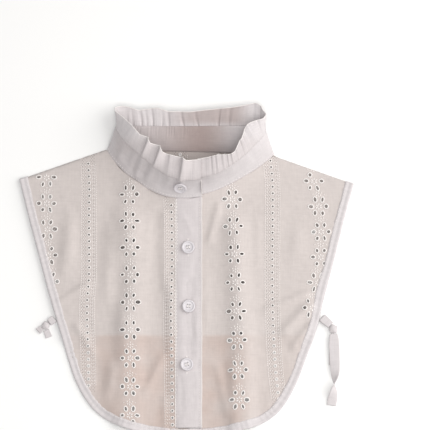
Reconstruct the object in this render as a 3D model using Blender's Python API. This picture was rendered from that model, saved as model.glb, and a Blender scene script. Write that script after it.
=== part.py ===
"""Detachable ruffle-neck collar in eyelet cotton, laid flat on its back panel.

Seen from above, +Y runs from the hem to the neck and +X to the wearer's left.
The floor is z = 0. Tables and sizes are in millimetres, and every mesh is made in metres.
"""

import math
from collections import namedtuple

import bmesh
import bpy
from mathutils import Matrix, Vector
from mathutils.geometry import delaunay_2d_cdt

MM = 0.001


def table(columns, rows):
    """The rows of a table, with its columns named."""
    row_kind = namedtuple("row_kind", columns)
    return [row_kind(*row) for row in rows]


# Walls, seams and layers
CLOTH = 1.0
BINDING_WALL = 1.8
PLACKET_WALL = 1.6
BAND_WALL = 1.6
RUFFLE_WALL = 1.0
RIBBON_WALL = 1.0
SEAM_GAP = 0.3
EDGE_GAP = 0.45
PLACKET_GAP = 0.5
OVER_BACK = BINDING_WALL + 0.5      # underside of a front where it lies on the back panel
SHOULDER_SEAT = CLOTH + SEAM_GAP    # underside of a front at its shoulder seam
BACK_SEAM_GAP = 0.9                 # the band's wall leans back over the neck edge of the back panel
BINDING_DOME = (0.2, 0.5)           # how much thinner a binding is at its inner and outer edge

# Neck, shoulders and centre front
NECK_HALF = 84.0
NECK_DROP = 44.0
NECK_POWER_RIGHT = 2.4
NECK_POWER_LEFT = 1.65
NECK_SKEW = 2.0
NECK_BACK_RISE = 1.8
NECK_LIFT = 3.0
NECK_LIFT_REACH = 16.0
NECK_LIFT_FADE = 40.0
NECK_STEPS = 12
NECK_TURN = {"right": (67.0, 79.5, 6.0), "left": (73.0, 82.5, 1.0)}
NECK_CORNER = {"right": (72.5, 84.0), "left": (75.0, 87.0)}
BACK_NECK_CORNER = {"right": (70.5, 87.0), "left": (73.0, 90.0)}
SHOULDER_RIGHT = ((-80.5, 3.2), (-165.0, -26.6))
SHOULDER_LEFT = ((84.0, -3.8), (160.0, -31.0))
SHOULDER_RAMP = 12.0
SHOULDER_RAMP_START = 54.0
SHOULDER_QUIET = 24.0
SHOULDER_TIP_RAMP = (126.0, 142.0)
PLACKET_HALF = 12.6
UNDERLAP_X = -11.0
PLACKET_RAMP = 11.0
PLACKET_ROWS = 20
PLACKET_ACROSS = 4
OVER_DROP = 2.2
OVER_RAMP = (-54.0, -26.0)

# Outer edges of the fronts, from the armhole to the hem: x on the wearer's right and left at each y
EDGE_ROWS = table("y right left", (
    (-66.0, -155.0, 150.4),
    (-105.0, -144.5, 140.7),
    (-137.0, -136.0, 131.5),
    (-163.0, -128.3, 126.0),
    (-182.0, -122.5, 120.3),
    (-201.0, -117.0, 113.2),
    (-223.0, -109.5, 104.8),
    (-243.0, -98.5, 94.4),
    (-257.0, -85.5, 82.6),
    (-267.0, -68.0, 66.0),
    (-274.0, -45.0, 42.0),
    (-278.0, -12.6, 12.6),
))
EDGE_STEP = 9.0
BINDING_WIDTH = 8.5

# Lower edge of the back panel
BACK_ARMHOLE_ROWS = 2
BACK_HEM_ROWS = table("y right left", (
    (-152.0, -131.5, 128.0),
    (-165.5, -126.0, 122.5),
    (-173.5, -114.0, 110.5),
    (-176.5, -98.0, 94.0),
    (-177.5, -78.0, 76.0),
))
HEM_STEP_TOP = -179.0
HEM_STEP_FLOOR = -193.0

# Soft ridges of the fronts, each from one end to the other
RIDGE_ROWS = table("x0 y0 x1 y1 height half_width", (
    (-53.0, -52.0, -54.0, -292.0, 5.2, 13.0),
    (-76.0, -58.0, -80.0, -160.0, 2.0, 7.0),
    (-108.0, -52.0, -118.0, -128.0, 2.2, 9.0),
    (-119.0, -146.0, -84.0, -126.0, 2.4, 7.0),
    (-104.0, -196.0, -82.0, -262.0, 2.6, 9.0),
    (-30.0, -205.0, -36.0, -290.0, 1.8, 7.0),
    (-7.0, -92.0, -4.0, -292.0, 2.0, 14.0),
    (45.0, -50.0, 53.0, -292.0, 5.4, 11.5),
    (104.0, -60.0, 106.0, -120.0, 1.6, 10.0),
    (120.0, -143.0, 72.0, -168.0, 3.0, 7.0),
    (116.0, -170.0, 84.0, -206.0, 2.6, 8.0),
    (84.0, -212.0, 74.0, -268.0, 1.8, 9.0),
))
RIDGE_FADE = 30.0

# Eyelet flowers: each hole from the middle of its flower, with its long axis turned in degrees
HOLE_ROWS = table("dx dy length width turn", (
    (-3.6, 6.8, 5.0, 3.0, 102.0),
    (3.6, 6.8, 5.0, 3.0, 78.0),
    (-7.3, 0.3, 4.9, 3.8, 0.0),
    (7.3, 0.3, 4.9, 3.8, 0.0),
    (-3.6, -6.3, 5.0, 3.0, 76.0),
    (3.6, -6.3, 5.0, 3.0, 104.0),
))
HOLE_SIDES = 6
HOLE_MARGIN = 1.3

# Lines of flowers down a panel: growth is how much the pitch widens from one to the next
FLOWER_LINE = "x_top x_middle x_bottom y_first pitch growth count"
FLOWERS_RIGHT = table(FLOWER_LINE, (
    (-138.6, -137.0, -133.0, -24.8, 25.6, 0.0, 6),
    (-58.5, -56.7, -56.8, -16.7, 25.6, 0.13, 10),
))
FLOWERS_LEFT = table(FLOWER_LINE, (
    (41.8, 45.0, 48.3, -46.7, 26.8, 0.167, 8),
    (121.0, 127.7, 118.8, -28.6, 24.9, 0.0, 6),
))
FLOWERS_BACK = table(FLOWER_LINE, (
    (-131.0, -131.0, -131.0, 3.4, 27.2, 0.0, 7),
    (-49.5, -49.5, -49.5, 3.4, 27.2, 0.0, 7),
    (32.0, 32.0, 32.0, 3.4, 27.2, 0.0, 7),
    (113.5, 113.5, 113.5, 3.4, 27.2, 0.0, 7),
))

# Points inside a front panel that let it bend
FRONT_GRID_X = 7.5
FRONT_GRID_Y = 17.0
GRID_MARGIN = 2.4
PLACKET_MARGIN = 3.0

# Stand collar, from its under end round the neck to its over end. Each row is where it meets
# the neck and its x there, how far the band dips inwards, the band's top and the ruffle's free edge
STATION_ROWS = table("seat neck_x dish top edge", (
    ("front", -11.0, 5.0, (-10.0, -30.4, 26.0), (-10.0, -11.4, 30.0)),
    ("front", 4.0, 5.0, (4.0, -30.2, 26.2), (4.0, -11.8, 30.4)),
    ("front", 28.0, 4.0, (25.5, -26.0, 27.0), (24.5, -8.6, 32.0)),
    ("front", 54.0, 2.5, (48.0, -12.5, 27.0), (45.0, -1.0, 33.0)),
    ("front", 73.0, 1.0, (65.0, 4.5, 22.5), (57.0, 19.0, 29.0)),
    ("corner", 82.5, 0.0, (74.0, 18.0, 14.5), (72.0, 29.0, 21.0)),
    ("back", 73.0, 0.0, (69.0, 25.0, 7.5), (68.5, 43.5, 12.5)),
    ("back", 48.0, 0.0, (46.0, 25.8, 7.0), (48.0, 44.5, 12.0)),
    ("back", 0.0, 0.0, (0.0, 25.4, 7.0), (0.0, 41.0, 12.0)),
    ("back", -48.0, 0.0, (-46.0, 25.6, 7.0), (-48.0, 42.0, 12.0)),
    ("back", -70.5, 0.0, (-66.5, 25.5, 7.0), (-66.0, 43.5, 12.0)),
    ("corner", -79.5, 0.0, (-71.0, 23.0, 13.0), (-70.5, 39.0, 18.0)),
    ("front", -72.0, 1.0, (-63.0, 8.0, 22.0), (-54.5, 22.0, 28.5)),
    ("front", -54.0, 2.5, (-46.0, -8.5, 27.0), (-41.0, 8.5, 32.0)),
    ("over", -28.0, 4.0, (-25.0, -25.6, 28.4), (-21.5, -5.4, 34.0)),
    ("over", -6.0, 5.0, (-6.0, -32.4, 28.4), (-5.0, -12.6, 34.6)),
    ("over", 12.6, 5.0, (11.6, -31.8, 28.2), (11.6, -13.0, 34.2)),
))
BAND_COLUMNS = 62
BAND_ROWS = 4
NEAR = 0.04                         # a short step along or up the collar's surfaces
CORNER_RISE = 2.1
CORNER_SHIFT = 0.8
BACK_RISE = 0.3

# Gathered ruffle on the band
RUFFLE_WAVES = 38
RUFFLE_STEPS = 7
RUFFLE_ROWS = 3
RUFFLE_SWING = 2.1
RUFFLE_ROOT_SHARE = 0.16
RUFFLE_START = 0.05
RUFFLE_STAND = 5.0
RUFFLE_GAP = 0.75
RUFFLE_ENDS = 30.0
RUFFLE_SAMPLES = 1000
SLOPE_STEP = 1e-4

# Buttons: x and y of those on the placket, and the share of the band's length and height for the collar's
BUTTON_RADIUS = 6.35
BUTTON_THICK = 2.3
BUTTON_SIDES = 16
BUTTON_PLACES = ((-0.9, -94.0), (-0.4, -151.7), (-2.0, -208.0))
COLLAR_BUTTON = (0.929, 0.53)
COLLAR_BUTTON_GAP = 1.1
BUTTON_GAP = 0.5
BUTTON_REACH = 0.8
BUTTON_PROFILE = table("radius height", (
    (0.0, 0.0),
    (0.86, 0.0),
    (1.0, 0.45),
    (0.88, 1.0),
    (0.6, 0.7),
    (0.0, 0.62),
))

# Side ties: points along each ribbon, with its turn about its own length in degrees
RIBBON_POINT = "x y z width turn"
TIE_ROWS = {
    "tie_left_front": (
        (128.5, -161.8, 3.0, 7.5, 0.0),
        (132.3, -165.3, 3.0, 7.5, 0.0),
        (136.7, -169.3, 2.9, 6.5, 0.0),
    ),
    "tie_left_back": (
        (127.5, -162.2, 0.8, 7.0, 0.0),
        (132.0, -165.8, 0.8, 7.0, 0.0),
        (136.4, -169.5, 0.8, 6.0, 0.0),
    ),
    "tie_left_tail_over": (
        (139.6, -177.8, 2.9, 7.0, 0.0),
        (139.8, -186.0, 2.9, 9.5, 0.0),
        (140.2, -200.0, 3.0, 9.5, 4.0),
        (140.6, -213.0, 3.6, 9.0, 14.0),
        (140.4, -221.0, 4.6, 8.0, 45.0),
        (139.8, -227.0, 4.8, 7.6, 90.0),
        (139.2, -233.0, 4.2, 8.0, 135.0),
        (138.2, -240.0, 1.6, 9.0, 172.0),
        (137.0, -247.0, 0.7, 9.0, 180.0),
    ),
    "tie_left_tail_under": (
        (139.6, -177.6, 0.8, 6.0, 0.0),
        (139.4, -190.0, 0.7, 8.0, 0.0),
        (138.6, -208.0, 0.7, 8.0, 0.0),
    ),
    "tie_right_front": (
        (-129.9, -163.0, 3.0, 7.0, 0.0),
        (-132.2, -164.8, 3.0, 7.0, 0.0),
        (-134.8, -166.8, 2.9, 6.0, 0.0),
    ),
    "tie_right_back": (
        (-129.5, -163.0, 0.8, 6.5, 0.0),
        (-132.1, -165.1, 0.8, 6.5, 0.0),
        (-134.9, -167.3, 0.8, 5.5, 0.0),
    ),
    "tie_right_tail_over": (
        (-141.7, -171.9, 1.8, 5.5, 0.0),
        (-143.3, -173.3, 1.5, 6.0, 5.0),
        (-145.6, -175.2, 1.2, 6.5, 0.0),
    ),
    "tie_right_tail_under": (
        (-137.6, -174.0, 0.8, 5.5, 0.0),
        (-136.2, -177.4, 0.7, 6.0, 0.0),
        (-134.9, -181.0, 0.7, 6.5, 0.0),
    ),
}
RIBBON_STEPS = 3
KNOT_FOOT = 0.72
KNOT_ROWS = table("name x y length width height", (
    ("tie_left_knot", 139.4, -173.0, 9.0, 8.6, 5.0),
    ("tie_right_knot", -138.0, -169.6, 8.0, 7.6, 4.6),
))

# Materials: colour, roughness
VOILE = ("eyelet_voile", (0.80, 0.76, 0.745), 0.85)
PLAIN = ("plain_cotton", (0.84, 0.83, 0.84), 0.8)
BUTTON = ("button_resin", (0.83, 0.83, 0.86), 0.35)


def clear_scene():
    for old in list(bpy.data.objects):
        bpy.data.objects.remove(old, do_unlink=True)


def material(spec):
    """The named Principled material, made once."""
    name, colour, roughness = spec
    made = bpy.data.materials.get(name)
    if made is None:
        made = bpy.data.materials.new(name)
        made.use_nodes = True
        shader = made.node_tree.nodes["Principled BSDF"]
        shader.inputs["Base Color"].default_value = (*colour, 1.0)
        shader.inputs["Roughness"].default_value = roughness
        shader.inputs["Metallic"].default_value = 0.0
    return made


def add_object(name, bm, spec, smooth_angle=60.0):
    """Turns a bmesh in millimetres into a named object in metres."""
    bmesh.ops.scale(bm, vec=(MM, MM, MM), verts=bm.verts)
    mesh = bpy.data.meshes.new(name)
    bm.to_mesh(mesh)
    bm.free()
    mesh.materials.append(material(spec))
    mesh.shade_smooth()
    mesh.set_sharp_from_angle(angle=math.radians(smooth_angle))
    obj = bpy.data.objects.new(name, mesh)
    bpy.context.scene.collection.objects.link(obj)
    return obj


def smooth(t):
    """0 before 0, 1 after 1, and a soft S between."""
    t = min(1.0, max(0.0, t))
    return t * t * (3.0 - 2.0 * t)


def mix(a, b, t):
    return a + (b - a) * t


# Curves

def catmull_rom(p0, p1, p2, p3, t):
    """The point at t between p1 and p2 on the curve through four points."""
    return 0.5 * (
        2.0 * p1
        + (p2 - p0) * t
        + (2.0 * p0 - 5.0 * p1 + 4.0 * p2 - p3) * t * t
        + (3.0 * p1 - p0 - 3.0 * p2 + p3) * t ** 3
    )


def on_curve(points, t):
    """The point at t, counted in points, on an open curve through them."""
    last = len(points) - 1
    i = min(int(t), last - 1)
    before = points[i - 1] if i else 2.0 * points[0] - points[1]
    after = points[i + 2] if i + 2 <= last else 2.0 * points[last] - points[last - 1]
    return catmull_rom(before, points[i], points[i + 1], after, t - i)


def even_parameters(points, count, fine=24):
    """count + 1 parameters of the curve through the points, evenly spaced along its length."""
    last = len(points) - 1
    samples = [i / fine for i in range(last * fine + 1)]
    lengths = [0.0]
    for a, b in zip(samples, samples[1:]):
        lengths.append(lengths[-1] + (on_curve(points, b) - on_curve(points, a)).length)
    found = []
    j = 0
    for k in range(count + 1):
        wanted = lengths[-1] * k / count
        while j < len(samples) - 2 and lengths[j + 1] < wanted:
            j += 1
        step = lengths[j + 1] - lengths[j]
        found.append(mix(samples[j], samples[j + 1], (wanted - lengths[j]) / step))
    return found


def even_points(points, step):
    rough = sum((b - a).length for a, b in zip(points, points[1:]))
    return [on_curve(points, t) for t in even_parameters(points, max(2, round(rough / step)))]


def inward(points, distance, turn):
    """A flat polyline moved sideways. turn is 1 to move to its left and -1 to its right."""
    sides = []
    for a, b in zip(points, points[1:]):
        sides.append(Vector((a.y - b.y, b.x - a.x)).normalized() * turn)
    moved = []
    for point, before, after in zip(points, sides[:1] + sides, sides + sides[-1:]):
        moved.append(point + (before + after) * distance / (1.0 + before.dot(after)))
    return moved


# Outlines of the panels, seen from above

def side_of(x):
    return "right" if x < 0 else "left"


def neck_front_y(x):
    """The front neck seam, which turns up into each shoulder."""
    share = min(1.0, abs(x) / NECK_HALF)
    power = NECK_POWER_RIGHT if x < 0 else NECK_POWER_LEFT
    start, end, rise = NECK_TURN[side_of(x)]
    turned = rise * smooth((abs(x) - start) / (end - start))
    return turned - NECK_DROP * (1.0 - share ** power) - NECK_SKEW * x / NECK_HALF


def neck_back_y(x):
    """The back neck seam."""
    share = min(1.0, abs(x) / NECK_HALF)
    return NECK_BACK_RISE * (1.0 - share ** 4) - NECK_SKEW * x / NECK_HALF


def shoulder(side):
    return SHOULDER_RIGHT if side == "right" else SHOULDER_LEFT


def shoulder_y(x):
    neck, tip = shoulder(side_of(x))
    return mix(neck[1], tip[1], (x - neck[0]) / (tip[0] - neck[0]))


def front_edge(side):
    """The outer edge of one front, from the shoulder tip to the centre front."""
    points = [Vector(shoulder(side)[1])]
    points += [Vector((getattr(row, side), row.y)) for row in EDGE_ROWS]
    if side == "right":
        points.append(Vector((PLACKET_HALF, EDGE_ROWS[-1].y)))
    return even_points(points, EDGE_STEP)


def back_edge():
    """The back panel's outer edge, from the right shoulder tip round the hem to the left one."""
    rows = EDGE_ROWS[:BACK_ARMHOLE_ROWS] + BACK_HEM_ROWS
    right = [Vector(SHOULDER_RIGHT[1])] + [Vector((row.right, row.y)) for row in rows]
    left = [Vector(SHOULDER_LEFT[1])] + [Vector((row.left, row.y)) for row in rows]
    return even_points(right + left[::-1], EDGE_STEP)


def seam_edge(outer, turn, width, ends):
    """The outer edge moved in by width, with its ends slid onto the shoulder lines named in ends."""
    inner = inward(outer, width, turn)
    for end, side in ends.items():
        neck, tip = (Vector(p) for p in shoulder(side))
        along = (neck - tip).normalized()
        edge = (outer[1] - outer[0]) if end == 0 else (outer[-2] - outer[-1])
        inner[end] = tip + along * (width / abs(along.cross(edge.normalized())))
    return inner


def clipped_at(points, x_limit):
    """The flat polyline as far as a given x, ending exactly on it."""
    kept = []
    for a, b in zip(points, points[1:]):
        kept.append(a)
        if (a.x - x_limit) * (b.x - x_limit) <= 0 and a.x != b.x:
            kept.append(mix(a, b, (x_limit - a.x) / (b.x - a.x)))
            return kept
    return kept + [points[-1]]


def over_drop(x):
    """The over end of the collar stands lower down the right front, clear of the under end."""
    low, high = OVER_RAMP
    return OVER_DROP * smooth((x - low) / (high - low)) if x < 0 else 0.0


def front_neck_cut(x):
    """The neck edge of a front panel, a seam gap below the band."""
    return neck_front_y(x) - over_drop(x) - SEAM_GAP


def back_neck_cut(x):
    """The neck edge of the back panel."""
    return neck_back_y(x) - BACK_SEAM_GAP


def neck_points(x_from, x_to, cut_y):
    xs = [mix(x_from, x_to, i / NECK_STEPS) for i in range(NECK_STEPS + 1)]
    return [Vector((x, cut_y(x))) for x in xs]


def centre_points(x, y_low):
    """Points up the centre edge of a front, level with the placket's rows."""
    top = neck_front_y(x) - SEAM_GAP
    return [Vector((x, mix(y_low, top, j / PLACKET_ROWS))) for j in range(1, PLACKET_ROWS)]


def front_outline(side):
    """The cut of one front panel inside its binding, as a closed polygon."""
    turn = 1 if side == "right" else -1
    outer = front_edge(side)
    inner = seam_edge(outer, turn, BINDING_WIDTH + EDGE_GAP, {0: side})
    centre = -PLACKET_HALF - SEAM_GAP if side == "right" else UNDERLAP_X
    low = clipped_at(inner, centre)
    if side == "left":
        low.append(Vector((UNDERLAP_X, low[-1].y)))
    rise = centre_points(centre, low[-1].y)
    corner_x, shoulder_x = (math.copysign(x, low[0].x) for x in NECK_CORNER[side])
    neck = neck_points(centre, corner_x, front_neck_cut)
    return low + rise + neck + [Vector((shoulder_x, shoulder_y(shoulder_x)))]


def back_outline():
    outer = back_edge()
    inner = seam_edge(outer, 1, BINDING_WIDTH + EDGE_GAP, {0: "right", -1: "left"})
    left_x, left_shoulder = BACK_NECK_CORNER["left"]
    right_x, right_shoulder = BACK_NECK_CORNER["right"]
    neck = neck_points(left_x, -right_x, back_neck_cut)
    left, right = (Vector((x, shoulder_y(x))) for x in (left_shoulder, -right_shoulder))
    return inner + [left] + neck + [right]


# Height of the cloth

def ridge_height(x, y):
    """The soft folds of the fronts, from nothing upwards."""
    total = 0.0
    for fold in RIDGE_ROWS:
        run_x = fold.x1 - fold.x0
        run_y = fold.y1 - fold.y0
        length = math.hypot(run_x, run_y)
        along = ((x - fold.x0) * run_x + (y - fold.y0) * run_y) / length
        across = ((x - fold.x0) * run_y - (y - fold.y0) * run_x) / length
        fade = smooth(along / RIDGE_FADE) * smooth((length - along) / RIDGE_FADE)
        total += fold.height * fade * math.exp(-((across / fold.half_width) ** 2))
    return total


def front_floor(x, y):
    """The underside of the wearer's left front, which lies lowest."""
    step = smooth((y - HEM_STEP_FLOOR) / (HEM_STEP_TOP - HEM_STEP_FLOOR))
    by_shoulder = abs(x) > SHOULDER_RAMP_START
    near_shoulder = smooth((shoulder_y(x) - y) / SHOULDER_RAMP) if by_shoulder else 1.0
    tip_from, tip_to = SHOULDER_TIP_RAMP
    on_binding = smooth((abs(x) - tip_from) / (tip_to - tip_from))
    seat = mix(SHOULDER_SEAT, OVER_BACK, max(near_shoulder, on_binding)) * step
    below_seam = max(0.0, neck_front_y(x) - y)
    lift = math.exp(-((below_seam / NECK_LIFT_REACH) ** 2))
    lift *= smooth((NECK_HALF - abs(x)) / NECK_LIFT_FADE)
    quiet = smooth((shoulder_y(x) - y) / SHOULDER_QUIET)
    return seat + NECK_LIFT * lift + ridge_height(x, y) * quiet


def front_underside(side, x, y):
    """The underside of either front: the right one climbs onto the left one at the placket."""
    z = front_floor(x, y)
    if side == "right":
        climb = smooth((x + PLACKET_HALF + SEAM_GAP + PLACKET_RAMP) / PLACKET_RAMP)
        z += (CLOTH + PLACKET_GAP) * climb
    return z


def placket_underside(x, y):
    return front_floor(x, y) + CLOTH + PLACKET_GAP


def placket_top(x, y):
    return placket_underside(x, y) + PLACKET_WALL


# Eyelet panels

def flower_centres(lines):
    """The middle of each flower, on a gentle curve through its line's three x."""
    for line in lines:
        for i in range(line.count):
            t = i / (line.count - 1)
            x = line.x_top * (1 - t) * (1 - 2 * t)
            x += line.x_middle * 4 * t * (1 - t)
            x += line.x_bottom * t * (2 * t - 1)
            yield x, line.y_first - line.pitch * i - line.growth * i * i


def hole_outline(middle, hole):
    """One eyelet as a small ellipse."""
    turned = Matrix.Rotation(math.radians(hole.turn), 2)
    points = []
    for i in range(HOLE_SIDES):
        angle = 2 * math.pi * i / HOLE_SIDES
        corner = Vector((hole.length * math.cos(angle), hole.width * math.sin(angle)))
        points.append(middle + turned @ corner / 2)
    return points


def inside(polygon, x, y):
    found = False
    for a, b in zip(polygon, polygon[1:] + polygon[:1]):
        if (a.y > y) != (b.y > y) and x < (b.x - a.x) * (y - a.y) / (b.y - a.y) + a.x:
            found = not found
    return found


def distance_to(polygon, point):
    nearest = 1e9
    for a, b in zip(polygon, polygon[1:] + polygon[:1]):
        side = b - a
        t = min(1.0, max(0.0, (point - a).dot(side) / max(side.length_squared, 1e-12)))
        nearest = min(nearest, (point - a - side * t).length)
    return nearest


def eyelets(outline, lines):
    """The holes that lie wholly inside the outline, as (middle, reach, polygon)."""
    found = []
    for x, y in flower_centres(lines):
        for hole in HOLE_ROWS:
            middle = Vector((x + hole.dx, y + hole.dy))
            clear = hole.length / 2 + HOLE_MARGIN
            if inside(outline, *middle) and distance_to(outline, middle) > clear:
                found.append((middle, hole.length / 2, hole_outline(middle, hole)))
    return found


def grid_points(outline, holes, step_x, step_y):
    """Points inside the outline and clear of its holes, so that the cloth can bend."""
    xs, ys = [p.x for p in outline], [p.y for p in outline]
    points = []
    for j in range(int((max(ys) - min(ys)) / step_y) + 1):
        for i in range(int((max(xs) - min(xs)) / step_x) + 1):
            shift = step_x / 2 if j % 2 else 0.0
            point = Vector((min(xs) + i * step_x + shift, min(ys) + j * step_y))
            if not inside(outline, *point) or distance_to(outline, point) < step_x * 0.4:
                continue
            if all((point - middle).length > reach + GRID_MARGIN for middle, reach, _ in holes):
                points.append(point)
    return points


def underlap_points(low_edge):
    """Points of the left front below the placket, under the placket's own corners."""
    points = []
    for i in range(1, PLACKET_ACROSS + 1):
        x = mix(-PLACKET_HALF, PLACKET_HALF, i / PLACKET_ACROSS)
        top = neck_front_y(x) - SEAM_GAP
        points += [Vector((x, mix(low_edge, top, j / PLACKET_ROWS))) for j in range(1, PLACKET_ROWS)]
    return points


def eyelet_sheet(outline, holes, extra, height):
    """A draped sheet of triangles with its eyelets left open, facing up."""
    loops = [outline] + [polygon for _, _, polygon in holes]
    points, edges = [], []
    for loop in loops:
        first = len(points)
        points += loop
        edges += [(first + i, first + (i + 1) % len(loop)) for i in range(len(loop))]
    points += extra
    flat, _, faces, *_ = delaunay_2d_cdt(points, edges, [], 0, 1e-5)
    bm = bmesh.new()
    verts = [bm.verts.new((p.x, p.y, height(p.x, p.y))) for p in flat]
    for face in faces:
        middle = sum((flat[i] for i in face), Vector((0.0, 0.0))) / len(face)
        open_here = any(
            (middle - centre).length < reach and inside(polygon, *middle)
            for centre, reach, polygon in holes
        )
        if inside(outline, *middle) and not open_here:
            bm.faces.new([verts[i] for i in face])
    bmesh.ops.delete(bm, geom=[v for v in bm.verts if not v.link_faces], context="VERTS")
    bmesh.ops.recalc_face_normals(bm, faces=bm.faces)
    if sum(f.normal.z for f in bm.faces) < 0:
        bmesh.ops.reverse_faces(bm, faces=bm.faces)
    return bm


def thicken(obj, wall):
    """Gives a sheet its wall, on the side that its faces look to."""
    solid = obj.modifiers.new("wall", "SOLIDIFY")
    solid.thickness = wall * MM
    solid.offset = 1.0
    solid.use_rim = True
    return obj


def build_back_panel():
    outline = back_outline()
    bm = eyelet_sheet(outline, eyelets(outline, FLOWERS_BACK), [], lambda x, y: 0.0)
    thicken(add_object("back_panel", bm, VOILE), CLOTH)


def build_front_panel(side):
    outline = front_outline(side)
    holes = eyelets(outline, FLOWERS_RIGHT if side == "right" else FLOWERS_LEFT)
    extra = grid_points(outline, holes, FRONT_GRID_X, FRONT_GRID_Y)
    if side == "left":
        low_edge = min(p.y for p in outline)
        extra = [p for p in extra if p.x > PLACKET_HALF + PLACKET_MARGIN]
        extra += underlap_points(low_edge)
    bm = eyelet_sheet(outline, holes, extra, lambda x, y: front_underside(side, x, y))
    thicken(add_object(f"front_{side}_panel", bm, VOILE), CLOTH)


# Strips: closed walls swept along a row of sections

def swept(sections):
    """A closed bmesh through sections, each a ring of as many points, with flat ends."""
    bm = bmesh.new()
    rings = [[bm.verts.new(p) for p in section] for section in sections]
    count = len(rings[0])
    for a, b in zip(rings, rings[1:]):
        for i in range(count):
            j = (i + 1) % count
            bm.faces.new((a[i], a[j], b[j], b[i]))
    bm.faces.new(rings[0][::-1])
    bm.faces.new(rings[-1])
    bmesh.ops.recalc_face_normals(bm, faces=bm.faces)
    if bm.calc_volume(signed=True) < 0:
        bmesh.ops.reverse_faces(bm, faces=bm.faces)
    return bm


def binding_section(outer, inner, underside):
    """Folded tape over the cloth's edge: flat below, a little domed above."""
    z_out = underside(outer.x, outer.y)
    z_in = underside(inner.x, inner.y)
    inner_dome, outer_dome = BINDING_DOME
    middle = (outer + inner) / 2
    return [
        Vector((outer.x, outer.y, z_out)),
        Vector((inner.x, inner.y, z_in)),
        Vector((inner.x, inner.y, z_in + BINDING_WALL - inner_dome)),
        Vector((middle.x, middle.y, (z_in + z_out) / 2 + BINDING_WALL)),
        Vector((outer.x, outer.y, z_out + BINDING_WALL - outer_dome)),
    ]


def build_front_binding(side):
    turn = 1 if side == "right" else -1
    outer = front_edge(side)
    inner = seam_edge(outer, turn, BINDING_WIDTH, {0: side})
    if side == "left":
        outer[-1].x = inner[-1].x = PLACKET_HALF + SEAM_GAP
    sections = [
        binding_section(o, i, lambda x, y: front_underside(side, x, y))
        for o, i in zip(outer, inner)
    ]
    add_object(f"front_{side}_binding", swept(sections), PLAIN)


def build_back_binding():
    outer = back_edge()
    inner = seam_edge(outer, 1, BINDING_WIDTH, {0: "right", -1: "left"})
    sections = [binding_section(o, i, lambda x, y: 0.0) for o, i in zip(outer, inner)]
    add_object("back_binding", swept(sections), PLAIN)


def build_placket():
    """The buttoned strip of the wearer's right front, from the neck seam to the hem binding."""
    low_edge = inward(front_edge("right"), BINDING_WIDTH + SEAM_GAP, 1)[-1].y
    sections = []
    for j in range(PLACKET_ROWS + 1):
        t = j / PLACKET_ROWS
        under, over = [], []
        for i in range(PLACKET_ACROSS + 1):
            x = mix(-PLACKET_HALF, PLACKET_HALF, i / PLACKET_ACROSS)
            y = mix(neck_front_y(x) - SEAM_GAP - OVER_DROP, low_edge, t)
            z = placket_underside(x, y)
            under.append(Vector((x, y, z)))
            over.append(Vector((x, y, z + PLACKET_WALL)))
        sections.append(under + over[::-1])
    add_object("front_placket", swept(sections), PLAIN)


# Stand collar and ruffle

def seat_point(seat, x):
    """Where the band's outer face meets the neck seam."""
    if seat == "corner":
        return Vector((x, neck_back_y(x) + CORNER_SHIFT, CORNER_RISE))
    if seat == "back":
        return Vector((x, neck_back_y(x), BACK_RISE))
    over = seat == "over"
    y = neck_front_y(x) - (OVER_DROP if over else over_drop(x))
    step = PLACKET_GAP + PLACKET_WALL if over else 0.0
    return Vector((x, y, front_floor(x, y - SEAM_GAP) + CLOTH + step))


RINGS = {
    "seat": [seat_point(row.seat, row.neck_x) for row in STATION_ROWS],
    "top": [Vector(row.top) for row in STATION_ROWS],
    "edge": [Vector(row.edge) for row in STATION_ROWS],
    "dish": [Vector((row.dish, 0.0, 0.0)) for row in STATION_ROWS],
}
RING_END = len(STATION_ROWS) - 1


def band_point(t, v):
    """A point of the band's outer face: t along its stations, v from the seam to its top."""
    seat = on_curve(RINGS["seat"], t)
    top = on_curve(RINGS["top"], t)
    ahead = on_curve(RINGS["top"], min(RING_END, t + NEAR)) - on_curve(RINGS["top"], max(0.0, t - NEAR))
    out = ahead.cross(top - seat).normalized()
    bend = (seat + top) / 2 - out * on_curve(RINGS["dish"], t).x
    return seat * (1 - v) ** 2 + bend * 2 * v * (1 - v) + top * v * v


def ruffle_point(t, v):
    """A point of the ruffle's middle surface before it is gathered."""
    top = band_point(t, 1.0)
    edge = on_curve(RINGS["edge"], t)
    up = (top - band_point(t, 1.0 - NEAR)).normalized()
    out = surface_normal(band_point, t, 1.0)
    root = top - out * BAND_WALL / 2 + up * RUFFLE_GAP
    stand = root + up * RUFFLE_STAND
    return root * (1 - v) ** 2 + stand * 2 * v * (1 - v) + edge * v * v


def surface_normal(surface, t, v):
    """The outward normal of a collar surface."""
    along = surface(min(RING_END, t + NEAR), v) - surface(max(0.0, t - NEAR), v)
    up = surface(t, min(1.0, v + NEAR)) - surface(t, max(0.0, v - NEAR))
    return along.cross(up).normalized()


def wall_sections(outer_rows, inner_rows):
    """Rings for swept(): up the outer face and back down the inner one."""
    return [list(outer) + list(inner)[::-1] for outer, inner in zip(outer_rows, inner_rows)]


def build_band():
    outer_rows, inner_rows = [], []
    for t in even_parameters(RINGS["top"], BAND_COLUMNS):
        outer, inner = [], []
        for j in range(BAND_ROWS):
            v = j / (BAND_ROWS - 1)
            point = band_point(t, v)
            if j == 0:
                up = (band_point(t, NEAR) - point).normalized()
                point = point + up * SEAM_GAP
            outer.append(point)
            inner.append(point - surface_normal(band_point, t, v) * BAND_WALL)
        outer_rows.append(outer)
        inner_rows.append(inner)
    add_object("collar_band", swept(wall_sections(outer_rows, inner_rows)), PLAIN)


def gather_phase(share):
    """Uneven waves: the phase runs ahead and falls back along the strip."""
    turn = 2 * math.pi * share
    return turn * RUFFLE_WAVES + 1.1 * math.sin(turn * 3 + 0.6) + 0.7 * math.sin(turn * 8)


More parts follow.
